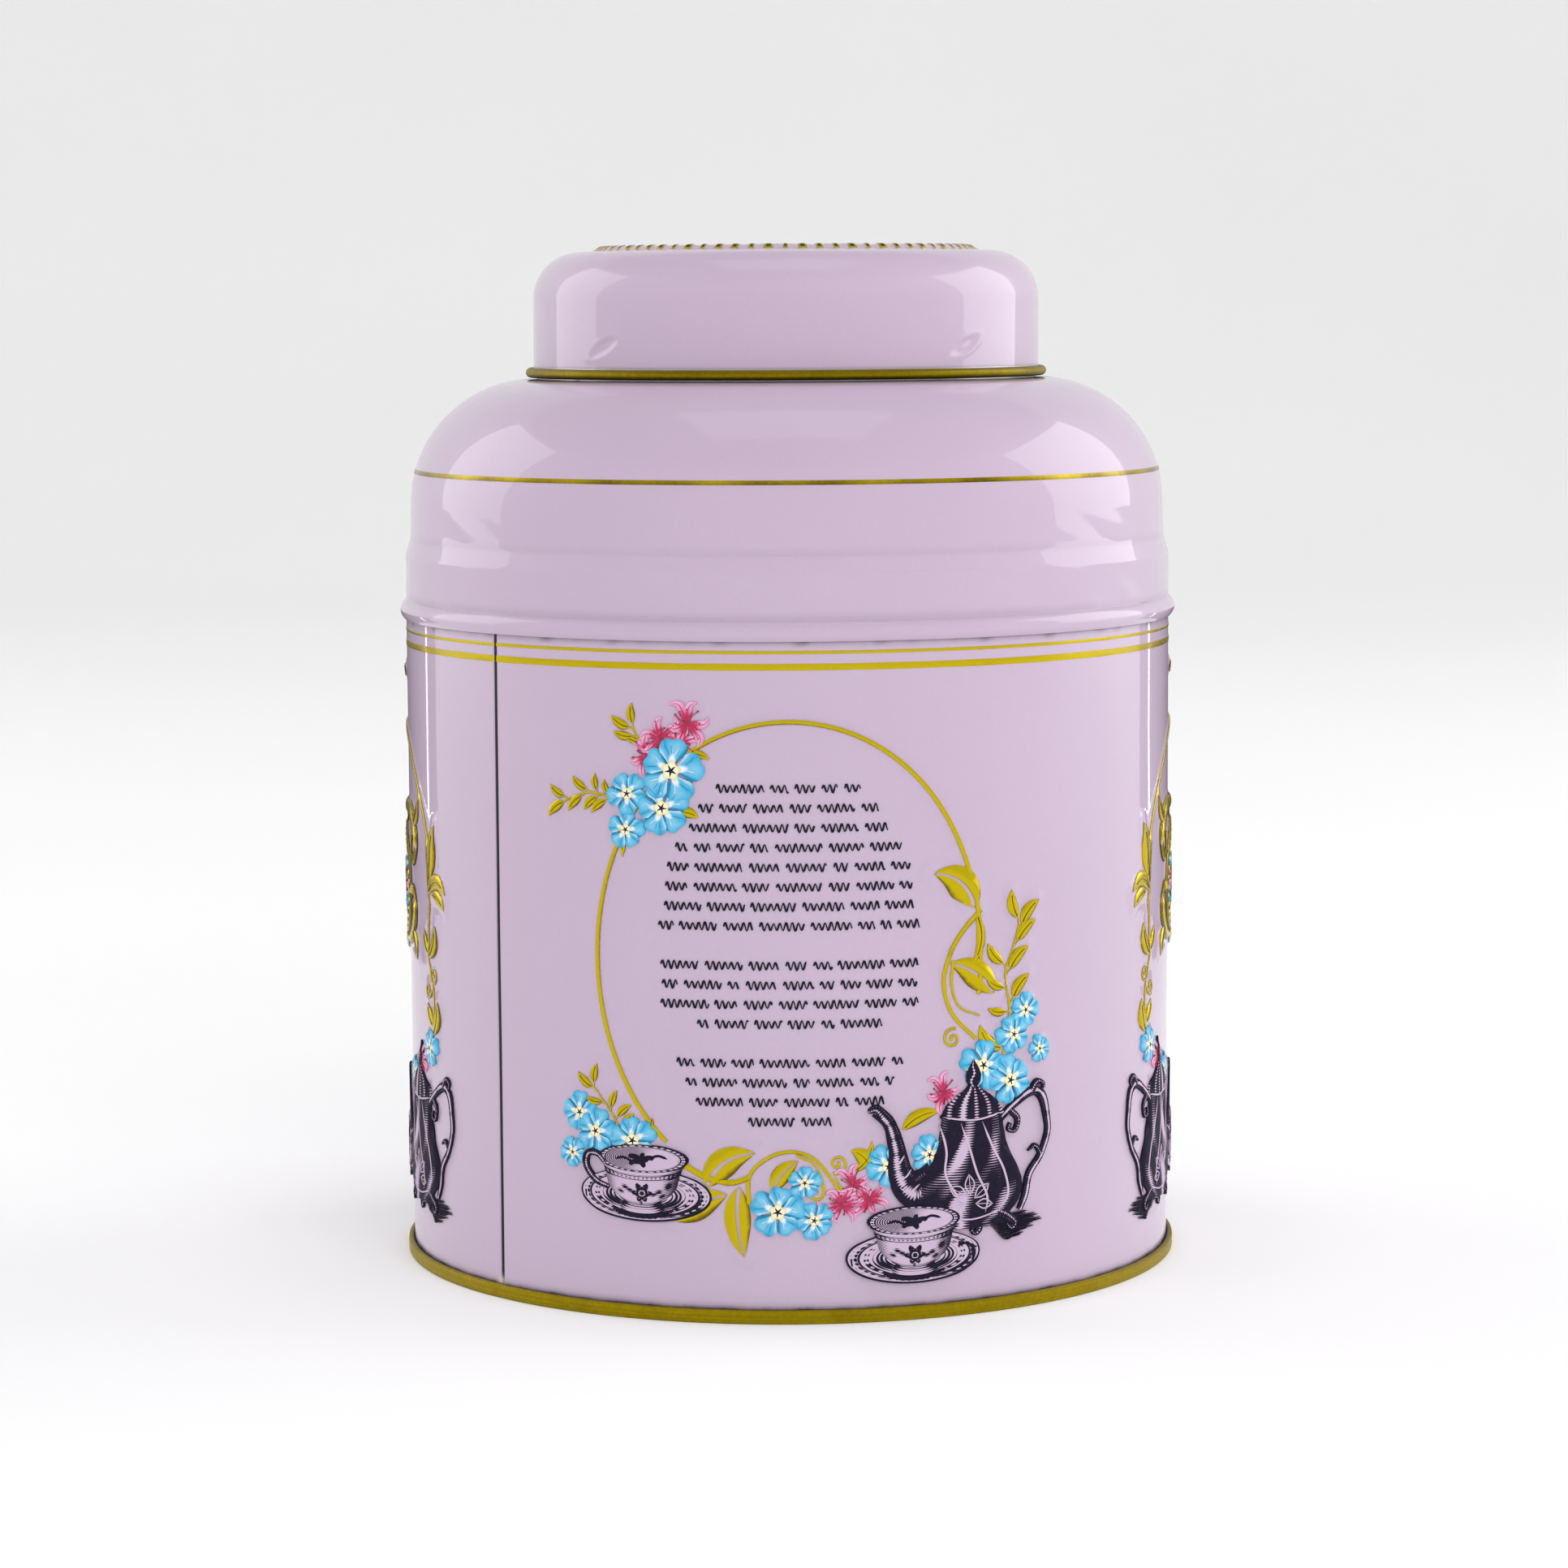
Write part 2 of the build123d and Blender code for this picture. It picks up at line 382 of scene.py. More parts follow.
def printed(name, stops, gloss=0.3, metal=0.0, mottle=0.1, varnish=0.5):
    """An ink whose colour follows the tint that each printed patch carries, varied a little."""
    made = Finish(name)
    tint = made.marked("tint") + (made.noise(1500, 2) - 0.5) * mottle * 2
    base = made.ramp(tint, stops)
    blotch = made.noise(2300, 1).above(0.7, 0.08) * 0.14
    base = made.mix(blotch, base, stops[-1][1])
    rough = gloss + made.noise(800, 2) * 0.08
    return made.finish(
        Base_Color=base, Roughness=rough, Metallic=metal,
        Normal=made.bump(made.noise(1900, 2), 0.03 * MM, 0.35), Coat_Weight=varnish, Coat_Roughness=0.06,
        Specular_IOR_Level=0.25)


def gold_ink():
    gold, olive = colours().gold, colours().olive
    light = blend_colours(gold, (1, 0.92, 0.42), 0.34)
    stops = [(0.0, tone(olive, 0.55)), (0.26, olive), (0.5, gold), (0.78, gold), (1.0, light)]
    return printed("gold_ink", stops, gloss=0.2, metal=0.78, mottle=0.05, varnish=0.1)


def blue_ink():
    deep, blue = colours().deep_blue, colours().blue
    stops = [(0.0, tone(deep, 0.6)), (0.22, deep), (0.5, blue), (0.78, blend_colours(blue, (1, 1, 1), 0.32)),
             (1.0, srgb(238, 242, 250))]
    return printed("blue_ink", stops, mottle=0.07)


def pink_ink():
    pink, crimson = colours().pink, colours().crimson
    stops = [(0.0, tone(crimson, 0.42)), (0.2, crimson), (0.5, blend_colours(crimson, pink, 0.72)),
             (0.78, pink), (1.0, srgb(244, 216, 232))]
    return printed("pink_ink", stops, mottle=0.07)


def cream_ink():
    cream = colours().cream
    stops = [(0.0, srgb(150, 150, 60)), (0.35, srgb(222, 206, 110)), (0.7, cream), (1.0, (1.0, 0.98, 0.86))]
    return printed("cream_ink", stops, mottle=0.08)


def black_ink():
    """Engraved print: the hatch lines thin out and vanish as the tint gets lighter."""
    made = Finish("black_ink")
    black = colours().black
    paper = tone(colours().lilac, 1.08)
    line = ((made.marked("hatch").fraction() - 0.5) * 2).size()
    tint = made.marked("tint") + (made.noise(2600, 2) - 0.5) * 0.16
    pale = (tint - line * 0.9).above(0.05, 0.22)
    ink = made.mix(made.noise(1200, 2).above(0.5, 0.7), black, tone(black, 1.9))
    base = made.mix(pale, ink, paper)
    return made.finish(
        Base_Color=base, Roughness=0.36, Normal=made.bump(made.noise(1900, 2), 0.02 * MM, 0.3),
        Coat_Weight=0.15, Coat_Roughness=0.05, Specular_IOR_Level=0.0)


FINISHES = {f.__name__: f for f in (
    lilac_lacquer, gold_lacquer, bare_tin, gold_ink, blue_ink, pink_ink, cream_ink, black_ink)}


def finish(name):
    return bpy.data.materials.get(f"{name}_finish") or FINISHES[name]()


# ---------------------------------------------------------------- meshes


def add_piece(name, points, faces, finishes, body, face_finish=None, marks=None, sharp=40):
    """Makes a mesh object from points in millimetres and puts it on its body."""
    mesh = bpy.data.meshes.new(name)
    mesh.from_pydata((np.asarray(points) * MM).tolist(), [], [list(map(int, f)) for f in faces])
    for finish_name in finishes:
        mesh.materials.append(finish(finish_name))
    if face_finish is not None:
        mesh.polygons.foreach_set("material_index", np.asarray(face_finish, np.int32))
    for mark in ("tint", "hatch", "grime", "bare"):
        values = (marks or {}).get(mark)
        if values is not None:
            attribute = mesh.attributes.new(mark, "FLOAT", "POINT")
            attribute.data.foreach_set("value", np.asarray(values, np.float32))
    weld(mesh)
    mesh.shade_smooth()
    mesh.set_sharp_from_angle(angle=math.radians(sharp))
    mesh.validate()
    piece = bpy.data.objects.new(name, mesh)
    bpy.context.scene.collection.objects.link(piece)
    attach(piece, body)
    return piece


def weld(mesh):
    """Joins points that fall together, as those at the middle of a turned disc do."""
    work = bmesh.new()
    work.from_mesh(mesh)
    bmesh.ops.remove_doubles(work, verts=work.verts, dist=1e-7)
    work.to_mesh(mesh)
    work.free()


def stroke(*parts):
    """Joins runs of section points, leaving out points that repeat."""
    run = []
    for part in parts:
        for point in np.atleast_2d(part):
            if not run or math.dist(run[-1], point) > 1e-4:
                run.append(tuple(float(v) for v in point))
    return run


def straight(start, end, step):
    """Section points from start to end, about step apart."""
    count = max(2, int(round(math.dist(start, end) / step)) + 1)
    return np.linspace(start, end, count)


def arc(centre, radius, start, end, step=8):
    """Section points on a circle, from one angle to another in degrees."""
    count = max(3, int(abs(end - start) / step) + 2)
    turn = np.radians(np.linspace(start, end, count))
    return np.stack([centre[0] + radius * np.cos(turn), centre[1] + radius * np.sin(turn)], 1)


def columns(count, near=None, gap=0.0):
    """Angles round the tin in degrees, with extra ones close to one angle for a narrow groove."""
    angles = np.linspace(-180, 180, count, endpoint=False)
    if near is not None:
        extra = near + np.array([-3.2, -1.6, -1.0, -0.5, 0.5, 1.0, 1.6, 3.2]) * gap
        angles = np.sort(np.concatenate([angles[np.abs(angles - near) > 3.6 * gap], extra]))
    return angles


def turned(name, section, angles, finishes, body, finish_of=None, shape=None, marks=None,
           closed=False, sharp=40):
    """A sheet turned round the axis: section runs down the outside and back up the inside."""
    section = np.array(section)
    radius = np.repeat(section[:, :1], len(angles), 1)
    height = np.repeat(section[:, 1:], len(angles), 1)
    angle = np.repeat(np.radians(angles)[None], len(section), 0)
    if shape is not None:
        radius, height = shape(radius, height, angle)
    points = np.stack([radius * np.sin(angle), -radius * np.cos(angle), height], -1).reshape(-1, 3)
    rows, wide = len(section), len(angles)
    index = np.arange(rows * wide).reshape(rows, wide)
    upper = index if closed else index[:-1]
    lower = np.roll(index, -1, 0) if closed else index[1:]
    faces = np.stack([upper, np.roll(upper, -1, 1), np.roll(lower, -1, 1), lower], -1)[:, :, ::-1]
    face_finish = None
    if finish_of is not None:
        chosen = [finish_of(i) for i in range(len(upper))]
        face_finish = np.repeat(chosen, wide)
    given = {k: v(section, angle).ravel() for k, v in (marks or {}).items()}
    return add_piece(
        name, points, faces.reshape(-1, 4), finishes, body, face_finish, given, sharp)


def smooth(value):
    """A gentle step from 0 to 1."""
    value = np.clip(value, 0, 1)
    return value * value * (3 - 2 * value)


def hump(value, middle, width):
    return np.exp(-(((value - middle) / width) ** 2))


def waviness(angle, height, seed):
    """The small stray of a rolled sheet from a true round, in millimetres."""
    stray = sizes().waviness / MM
    long_wave = np.sin(3 * angle + seed) * np.sin(height / 23 + seed * 1.7)
    short_wave = np.sin(8 * angle + height / 9 + seed * 2.3) * 0.45
    flutter = np.sin(17 * angle - height / 5 + seed) * 0.22
    return stray * (long_wave + short_wave + flutter)


# ---------------------------------------------------------------- drawing on the sheet


def curve(points, step=0.4):
    """A smooth path through points, in steps of about step millimetres."""
    given = np.array(points, float)
    ends = np.vstack([2 * given[0] - given[1], given, 2 * given[-1] - given[-2]])
    runs = []
    for a, b, c, d in zip(ends, ends[1:], ends[2:], ends[3:]):
        count = max(2, int(np.linalg.norm(c - b) / step) + 1)
        t = np.linspace(0, 1, count, endpoint=False)[:, None]
        runs.append(0.5 * (2 * b + (c - a) * t + (2 * a - 5 * b + 4 * c - d) * t**2
                           + (3 * b - a - 3 * c + d) * t**3))
    return np.vstack(runs + [given[-1:]])


def grid_faces(shape, start=0):
    """The faces of a grid of points that are numbered from start, row by row."""
    rows, wide = shape
    index = np.arange(rows * wide).reshape(rows, wide) + start
    return np.stack([index[:-1, :-1], index[1:, :-1], index[1:, 1:], index[:-1, 1:]], -1).reshape(-1, 4)


def sideways(path):
    """The unit direction to the left of a path at each of its points."""
    ahead = np.gradient(path, axis=0)
    ahead /= np.maximum(np.linalg.norm(ahead, axis=1, keepdims=True), 1e-9)
    return np.stack([-ahead[:, 1], ahead[:, 0]], 1)


def compass(degrees, length=1.0):
    """A step in a direction, measured from the drawing's x towards its y."""
    angle = math.radians(degrees)
    return np.array([math.cos(angle), math.sin(angle)]) * length


def value_at(value, along, across):
    """A number, a row of numbers or a rule for both, spread over a patch."""
    return value(along, across) if callable(value) else np.broadcast_to(value, along.shape)


class Ink:
    """Everything printed in one colour: grids of points, each with its lift, tint and hatch."""

    def __init__(self):
        self.parts = []
        self.faces = []
        self.count = 0

    def add(self, x, y, lift, tint, hatch):
        grids = [np.array(np.broadcast_to(g, x.shape), float) for g in (x, y, lift, tint, hatch)]
        spin = np.gradient(x, axis=0) * np.gradient(y, axis=1)
        spin = spin - np.gradient(x, axis=1) * np.gradient(y, axis=0)
        if spin.sum() < 0:
            grids = [g[::-1] for g in grids]
        grids = [np.pad(g, 1, mode="edge") for g in grids]
        rim = np.ones(grids[2].shape, bool)
        rim[1:-1, 1:-1] = False
        grids[2][rim] = -SINK
        self.faces.append(grid_faces(grids[0].shape, self.count))
        self.parts.append(np.stack([g.ravel() for g in grids], 1))
        self.count += grids[0].size


class Drawing:
    """A panel's printed and embossed design. Shapes are drawn round the panel's middle."""

    LIGHT = np.array([-0.5, 0.87])     # painted shading: the side of a shape towards the upper left is made lighter, the other side darker
    BLOSSOM_LAYERS = 3                 # layers from one flower of a cluster to the next

    def __init__(self, angle=0.0):
        self.angle = angle
        self.inks = {}
        self.pressings = []
        self.origin = np.zeros(2)
        self.flip = 1.0
        self.scale = 1.0
        self.layer = 1

    # placing

    def at(self, x=0.0, y=0.0, flip=1.0, scale=1.0):
        """Moves, mirrors or scales what is drawn next."""
        self.origin = np.array([x, y], float)
        self.flip = flip
        self.scale = scale
        return self

    def patch(self, ink, x, y, tint, lift=0.0, hatch=0.0):
        """Lays one patch on the current layer."""
        x = self.origin[0] + self.flip * self.scale * x
        y = self.origin[1] + self.scale * y
        self.inks.setdefault(ink, Ink()).add(x, y, 0.04 + LAYER * self.layer + lift, tint, hatch)

    def press(self, path, radius, height=1.0, fall=0.9):
        """Raises the sheet under a path; height is a share of the full embossing."""
        path = np.atleast_2d(path).astype(float)
        x = self.origin[0] + self.flip * self.scale * path[:, 0]
        y = self.origin[1] + self.scale * path[:, 1]
        self.pressings.append((np.stack([x, y], 1), radius * self.scale, height, fall))

    def relief(self, x, y):
        """How far the sheet is pressed out at these points, in millimetres."""
        raised = np.zeros(x.shape)
        for path, radius, height, fall in self.pressings:
            low, high = path.min(0) - radius - fall, path.max(0) + radius + fall
            near = (x > low[0]) & (x < high[0]) & (y > low[1]) & (y < high[1])
            if not near.any():
                continue
            gap = np.full(int(near.sum()), 1e9)
            nx, ny = x[near], y[near]
            for px, py in path:
                np.minimum(gap, (nx - px) ** 2 + (ny - py) ** 2, out=gap)
            rise = height * smooth((radius + fall - np.sqrt(gap)) / fall)
            raised[near] = np.maximum(raised[near], rise)
        return raised * sizes().emboss / MM

    # simple shapes

    def ribbon(self, ink, path, half, tint=0.5, puff=0.0, shade=0.0, hatch=0.0, lanes=5, lift=0.0):
        """A band along a path. half is its half width; shade paints the side towards the upper left lighter
        and the other side darker, as painted shading.
        """
        path = np.asarray(path, float)
        along = np.repeat(np.linspace(0, 1, len(path))[:, None], lanes, 1)
        across = np.repeat(np.linspace(-1, 1, lanes)[None], len(path), 0)
        half = np.broadcast_to(half(along[:, 0]) if callable(half) else half, len(path))[:, None]
        side = sideways(path)
        x = path[:, :1] + side[:, :1] * half * across
        y = path[:, 1:] + side[:, 1:] * half * across
        facing = (side[:, :1] * self.flip * self.LIGHT[0] + side[:, 1:] * self.LIGHT[1]) * across
        colour = value_at(tint, along, across) + shade * facing
        raised = puff * np.sqrt(np.clip(1 - across**2, 0, 1)) * np.minimum(1, half / 0.4) + lift
        self.patch(ink, x, y, colour, raised, value_at(hatch, along, across))

    def line(self, ink, points, width, tint=0.5, shade=0.0, taper=True, step=0.35, lift=0.0):
        """A drawn line that thins out at both ends."""
        path = curve(points, step)
        half = (lambda s: width / 2 * np.clip(np.sin(np.pi * s) * 2.2, 0.12, 1)) if taper else width / 2
        self.ribbon(ink, path, half, tint, shade=shade, lanes=3, lift=lift)

    def disc(self, ink, centre, radius, tint=0.5, lobes=0, depth=0.0, turn=0.0, dome=0.0, squash=1.0,
             hatch=0.0, rings=4, steps=28, inner=0.0):
        """A round or lobed spot, or a ring where inner is above 0. squash flattens it in height."""
        out = np.linspace(inner, 1, rings)[:, None] + np.zeros((1, steps + 1))
        spin = np.linspace(0, 2 * np.pi, steps + 1)[None] + np.zeros((rings, 1))
        reach = radius * (1 + depth * np.cos(lobes * (spin - math.radians(turn))))
        x = centre[0] + out * reach * np.cos(spin)
        y = centre[1] + out * reach * np.sin(spin) * squash
        colour = tint(out, spin) if callable(tint) else tint
        lines = hatch(out, spin) if callable(hatch) else hatch
        self.patch(ink, x, y, colour, dome * (1 - out**2), lines)

    # gold work

    def stem(self, points, width=0.5, taper=0.45, step=0.5):
        """A gold stalk, thinner towards its end."""
        path = curve(points, step)
        self.ribbon("gold_ink", path, lambda s: width / 2 * (1 - (1 - taper) * s), 0.55, 0.05, 0.26, lanes=5)
        self.press(path[::2], width / 2, 0.35, 0.6)

    def leaf(self, root, tip, width, bend=0.12, split=0.0, fullness=0.85, rib=True):
        """An almond leaf. bend curves it to the left of its way; split opens a gap down its middle."""
        root, tip = np.array(root, float), np.array(tip, float)
        reach = tip - root
        left = np.array([-reach[1], reach[0]])
        s = np.linspace(0, 1, 17)
        middle = root + reach * s[:, None] + left * (bend * 4 * s * (1 - s))[:, None]
        half = width / 2 * np.sin(np.pi * s**fullness) ** 0.85
        side = sideways(middle)
        for way in (-1, 1):
            share = np.linspace(split, 1, 5)[None]
            gap = np.minimum(half, width / 2 * split * (1 - 0.6 * s))[:, None]
            off = way * (gap + (half[:, None] - gap) * (share - split) / (1 - split))
            x = middle[:, :1] + side[:, :1] * off
            y = middle[:, 1:] + side[:, 1:] * off
            facing = way * (side @ (self.LIGHT * np.array([self.flip, 1])))[:, None]
            edge = smooth((share - 0.62) / 0.38)
            veins = 0.02 * np.sin(s * 25)[:, None]
            # Painted shading: the half towards the upper left is lighter, and the outer edge of the other
            # half turns olive as if in shade; the veins are print.
            colour = 0.62 + 0.2 * facing * share - 0.3 * edge * (facing < 0.1) + veins
            puff = 0.1 * np.sin(np.pi * np.clip(0.2 + share * 0.8, 0, 1)) * (half[:, None] / (width / 2))
            self.patch("gold_ink", x, y, colour, puff)
        self.press(middle[::2], width * 0.3, 0.75, 0.8)
        if rib and not split:
            self.layer += 1
            self.ribbon("gold_ink", middle[1:-3], lambda q: 0.07 * (1 - 0.7 * q), 0.2, lanes=3, lift=0.1)
            self.layer -= 1

    def sprig(self, points, leaves, length, width=0.42, slim=0.42):
        """A stalk with almond leaves: each is (how far along, its direction in degrees, size)."""
        self.stem(points, width)
        path = curve(points, 0.3)
        for along, direction, size in leaves:
            root = path[int(round(along * (len(path) - 1)))]
            stalk = root + compass(direction, length * size * 0.22)
            self.stem([root, (root + stalk) / 2, stalk], width * 0.7)
            tip = stalk + compass(direction, length * size)
            self.leaf(stalk, tip, length * size * slim, bend=0.1 if direction % 360 < 180 else -0.1)

    def tendril(self, centre, radius, turns, start, way=1, width=0.42):
        """A gold curl that winds in to its middle."""
        s = np.linspace(0, 1, int(26 * turns))
        spin = np.radians(start) + way * s * turns * 2 * np.pi
        reach = radius * (1 - 0.86 * s)
        path = np.stack([centre[0] + reach * np.cos(spin), centre[1] + reach * np.sin(spin)], 1)
        self.ribbon("gold_ink", path, lambda q: width / 2 * (1 - 0.25 * q), 0.55, 0.05, 0.26, lanes=5)
        self.disc("gold_ink", path[-1], width * 0.75, 0.6, dome=0.05, rings=3, steps=12)
        self.press([centre], radius * 0.9, 0.3, 0.6)

    # flowers

    def blossom(self, x, y, radius, turn=0.0):
        """A five-petalled blue flower with a cream eye. Each petal overlaps the next."""
        centre = np.array([x, y])
        petal_half = math.radians(38.5)
        eye, pupil = 0.29, 0.105                # shares of the flower's radius
        u = np.linspace(0.08, 1, 12)[:, None]
        v = np.linspace(-1, 1, 21)[None]
        self.press([centre], radius * 0.8, 1.0, 1.0)
        for k in range(5):
            middle = math.radians(turn + 72 * k + 4 * math.sin(3.1 * x + 5 * k))
            uneven = 1 + 0.06 * math.sin(9.1 * x + 4.3 * y + 2.1 * k)
            outline = 1.03 - 0.36 * np.abs(v) ** 3.2 - 0.08 * hump(v, 0.12 * math.sin(k + x), 0.2)
            reach = radius * uneven * outline * u
            spin = middle + v * petal_half * (0.5 + 0.5 * u**0.7)
            petal_x, petal_y = x + reach * np.cos(spin), y + reach * np.sin(spin)
            pale_heart = 0.46 * smooth((0.62 - 0.3 * np.abs(v) - u) / 0.14)
            sheen = 0.12 * hump(v, -0.2, 0.3) * hump(u, 0.74, 0.2)
            bright_side = 0.34 * hump(v, 0.93, 0.1) * smooth(u / 0.4)
            dark_tip = 0.08 * smooth((u - 0.84) / 0.16)
            dark_side = 0.42 * smooth((-v - 0.66) / 0.24)
            crease = 0.16 * hump(v, 0.5, 0.14) * u
            colour = 0.54 + pale_heart + sheen + bright_side - dark_tip - dark_side - crease
            lift = 0.012 * v + 0.05 * np.sin(np.pi * u) * (1 - 0.6 * v**2)
            self.patch("blue_ink", petal_x, petal_y, colour, lift)
            self.petal_marks(centre, radius * uneven, math.degrees(middle), k)
        self.layer += 4
        self.disc(
            "cream_ink", centre, radius * eye, lambda out, spin: 0.9 - 0.42 * out**3, 5, 0.16, turn, 0.04,
            rings=4, steps=30)
        self.layer += 3
        self.disc("black_ink", centre, radius * pupil, SOLID, 5, 0.42, turn + 36, 0.02, rings=3, steps=30)
        for k in range(5):
            root = centre + compass(turn + 36 + 72 * k, radius * 0.09)
            tip = centre + compass(turn + 36 + 72 * k, radius * 0.19)
            self.line("black_ink", [root, (root + tip) / 2, tip], 0.035 * radius, SOLID, step=0.2)
        self.layer -= 7

    def petal_marks(self, centre, radius, direction, k):
        """A pale crease or two and a fine dark vein on one petal."""
        self.layer += 2
        crease, vein = (-11, 0.44, 0.74, 0.95, 0.08), (16, 0.46, 0.86, 0.18, 0.07)
        marks = [crease, vein]
        if k % 2:
            short_vein = (4, 0.5, 0.8, 0.24, 0.05)
            marks.append(short_vein)
        for turn, near, far, tint, width in marks:
            root = centre + compass(direction + turn * 0.6, radius * near)
            bend = centre + compass(direction + turn, radius * (near + far) / 2)
            tip = centre + compass(direction + turn * 1.3, radius * far)
            self.line("blue_ink", [root, bend, tip], width * (0.3 + radius / 4.5), tint, lift=0.045)
        self.layer -= 2

    def star(self, x, y, radius, turn=0.0, petals=6):
        """A pink flower with narrow curled petals, a crimson heart and long stamens."""
        centre = np.array([x, y])
        self.press([centre], radius * 0.5, 0.8, 1.0)

        def petal_half(s):
            return radius * 0.19 * np.sin(np.pi * np.clip(0.14 + 0.86 * s, 0, 1)) ** 0.9

        def petal_tint(s, t):
            return 0.2 + 0.6 * smooth((s - 0.22) / 0.36) - 0.26 * smooth((np.abs(t) - 0.72) / 0.28)

        for k in range(petals):
            direction = turn + 360 / petals * k + 9 * math.sin(3.7 * k + x)
            length = radius * (1 + 0.16 * math.sin(2.3 * k + y))
            way = 1 if k % 2 else -1
            path = curve([centre + compass(direction, radius * 0.08),
                          centre + compass(direction + 9 * way, length * 0.5),
                          centre + compass(direction + 3 * way, length * 0.82),
                          centre + compass(direction - 14 * way, length * 1.02)], 0.25)
            self.layer += k % 2
            # The petal's shade of 0.12 is painted shading, lighter towards the upper left.
            self.ribbon("pink_ink", path, petal_half, petal_tint, 0.05, 0.12, lanes=7)
            self.layer += 1
            self.ribbon("pink_ink", path[1:-2], lambda s: 0.09 * (1 - s) + 0.02, 0.16, lanes=3, lift=0.05)
            self.layer -= 1 + k % 2
        self.layer += 4
        for k in range(10):
            direction = turn + 36 * k + 11 * math.sin(5.1 * k + x)
            tip = centre + compass(direction, radius * (0.62 + 0.16 * math.sin(2.9 * k + y)))
            bend = centre + compass(direction + 8, radius * 0.36)
            self.line("pink_ink", [centre, bend, tip], 0.11, 0.14, lift=0.03)
            self.disc("pink_ink", tip, 0.15, 0.1, dome=0.03, rings=3, steps=9)
        self.disc("pink_ink", centre, radius * 0.16, 0.06, 6, 0.2, turn, 0.05, rings=3, steps=18)
        self.layer -= 4

    def stars(self, *spots):
        """Pink flowers, each a layer above the one before: (x, y, radius, turn)."""
        for spot in spots:
            self.star(*spot)
            self.layer += 1

    def blossoms(self, *spots, rise=BLOSSOM_LAYERS):
        """Blue flowers, each rise layers above the one before: (x, y, radius, turn)."""
        for spot in spots:
            self.blossom(*spot)
            self.layer += rise

    # engraved ware

    def engraved(self, path, width, pale=False, step=0.3):
        """One engraver's stroke, dark on light or light on dark."""
        self.line("black_ink", path, width, PAPER if pale else SOLID, step=step, lift=0.07 * pale)

    def tube(self, points, halves, bright=0.55, rows=0.3):
        """A round engraved limb, such as a spout or a handle, with one long light along it."""
        path = curve(points, rows)
        where = np.linspace(0, 1, len(halves))
        length = np.linalg.norm(np.diff(path, axis=0), axis=1).sum()
        hatch_pitch = 0.36

        def light(s, t):
            shine = 1.75 * bright * hump(t, 0.2, 0.32) + 0.55 * hump(t, -0.62, 0.14)
            return -0.35 + shine - 0.8 * hump(np.abs(t), 1, 0.16) - 0.5 * bright * (np.sin(s * 47) > 0.8)

        self.ribbon("black_ink", path, lambda s: np.interp(s, where, halves), light, 0.04,
                    hatch=lambda s, t: s * length / hatch_pitch, lanes=19)
        self.press(path[::3], min(halves) * 0.9, 0.8, 0.8)

    def vessel(self, heights, lefts, rights, light, lines, rows=60, lanes=45, bulge=0.35):
        """An engraved round body between two outlines. light is a rule for (up, across)."""
        up = np.linspace(0, 1, rows)
        y = heights[0] + (heights[-1] - heights[0]) * up
        left, right = (np.interp(y, heights, side) for side in (lefts, rights))
        across = np.linspace(-1, 1, lanes)[None] + np.zeros((rows, 1))
        above = up[:, None] + np.zeros((1, lanes))
        x = (left + right)[:, None] / 2 + (right - left)[:, None] / 2 * across
        wide = (right - left)[:, None] / 2
        sag = y[:, None] - bulge * wide * 0.28 * (np.sqrt(np.clip(1 - across**2, 0, 1)))
        rise = np.clip(1 - across**2, 0, 1) ** 0.5
        self.patch("black_ink", x, sag, light(above, across), 0.06 * rise, above * lines)

    def teapot(self):
        """A fluted pear-shaped pot seen from the side: its foot is at 0, 0 and its spout points left."""
        heights = [0.0, 0.7, 1.5, 3.0, 4.6, 6.4, 8.2, 10.2, 12.4, 14.4, 16.2, 17.0]
        halves = [5.2, 4.4, 6.4, 8.1, 8.8, 8.7, 7.9, 6.7, 5.8, 5.35, 5.0, 5.3]
        self.press(curve([(0, 3.5), (0, 8), (0, 13)], 1.0), 4.6, 1.0, 1.4)
        self.press([(0, 5.2)], 7.6, 1.0, 1.2)
        self.press([(0, 19)], 3.0, 0.9, 1.2)
        self.tube([(-6.2, 7.2), (-9.4, 5.8), (-11.6, 8.4), (-12.3, 12.6), (-13.4, 16.2), (-15.3, 18.2)],
                  [3.1, 2.7, 2.0, 1.35, 1.0, 1.0], 0.8)
        self.layer += 1
        self.tube([(-14.3, 17.4), (-15.4, 18.5), (-16.6, 18.2)], [0.9, 0.75, 0.3], rows=0.2)
        for s in (0.0, 0.35, 0.7):
            base = np.array([-10.0 - 2.4 * s, 5.6 + 6.4 * s])
            collar = [base + (-1.9 + s, 0.9), base + (-0.4, 0.1), base + (1.2 - s, 1.3)]
            self.engraved(collar, 0.24, pale=True)
        self.layer -= 1
        self.handle()
        self.layer += 2

        def light(up, across):
            swirl = across * 0.9 - 0.62 * np.sin(np.pi * (up * 0.95 - 0.42))
            flute = (swirl * 1.25 + 0.1) % 1.0
            ridge = 0.8 * hump(flute, 0.26, 0.16) - 0.5 * hump(flute, 0.9, 0.14)
            shine = 0.85 * hump(across, -0.36, 0.24) + 0.35 * hump(across, 0.58, 0.13)
            belly = 0.5 * hump(up, 0.3, 0.16) + 0.35 * hump(up, 0.72, 0.12)
            far_side = 0.9 * smooth((across - 0.82) / 0.18)
            return -0.14 + 1.25 * shine * (0.3 + ridge + belly) + 0.34 * ridge - far_side

        self.vessel(heights, [-h for h in halves], halves, light, 46, 84, 61)
        self.layer += 1
        self.pot_lid()
        self.pot_details()
        self.layer -= 3

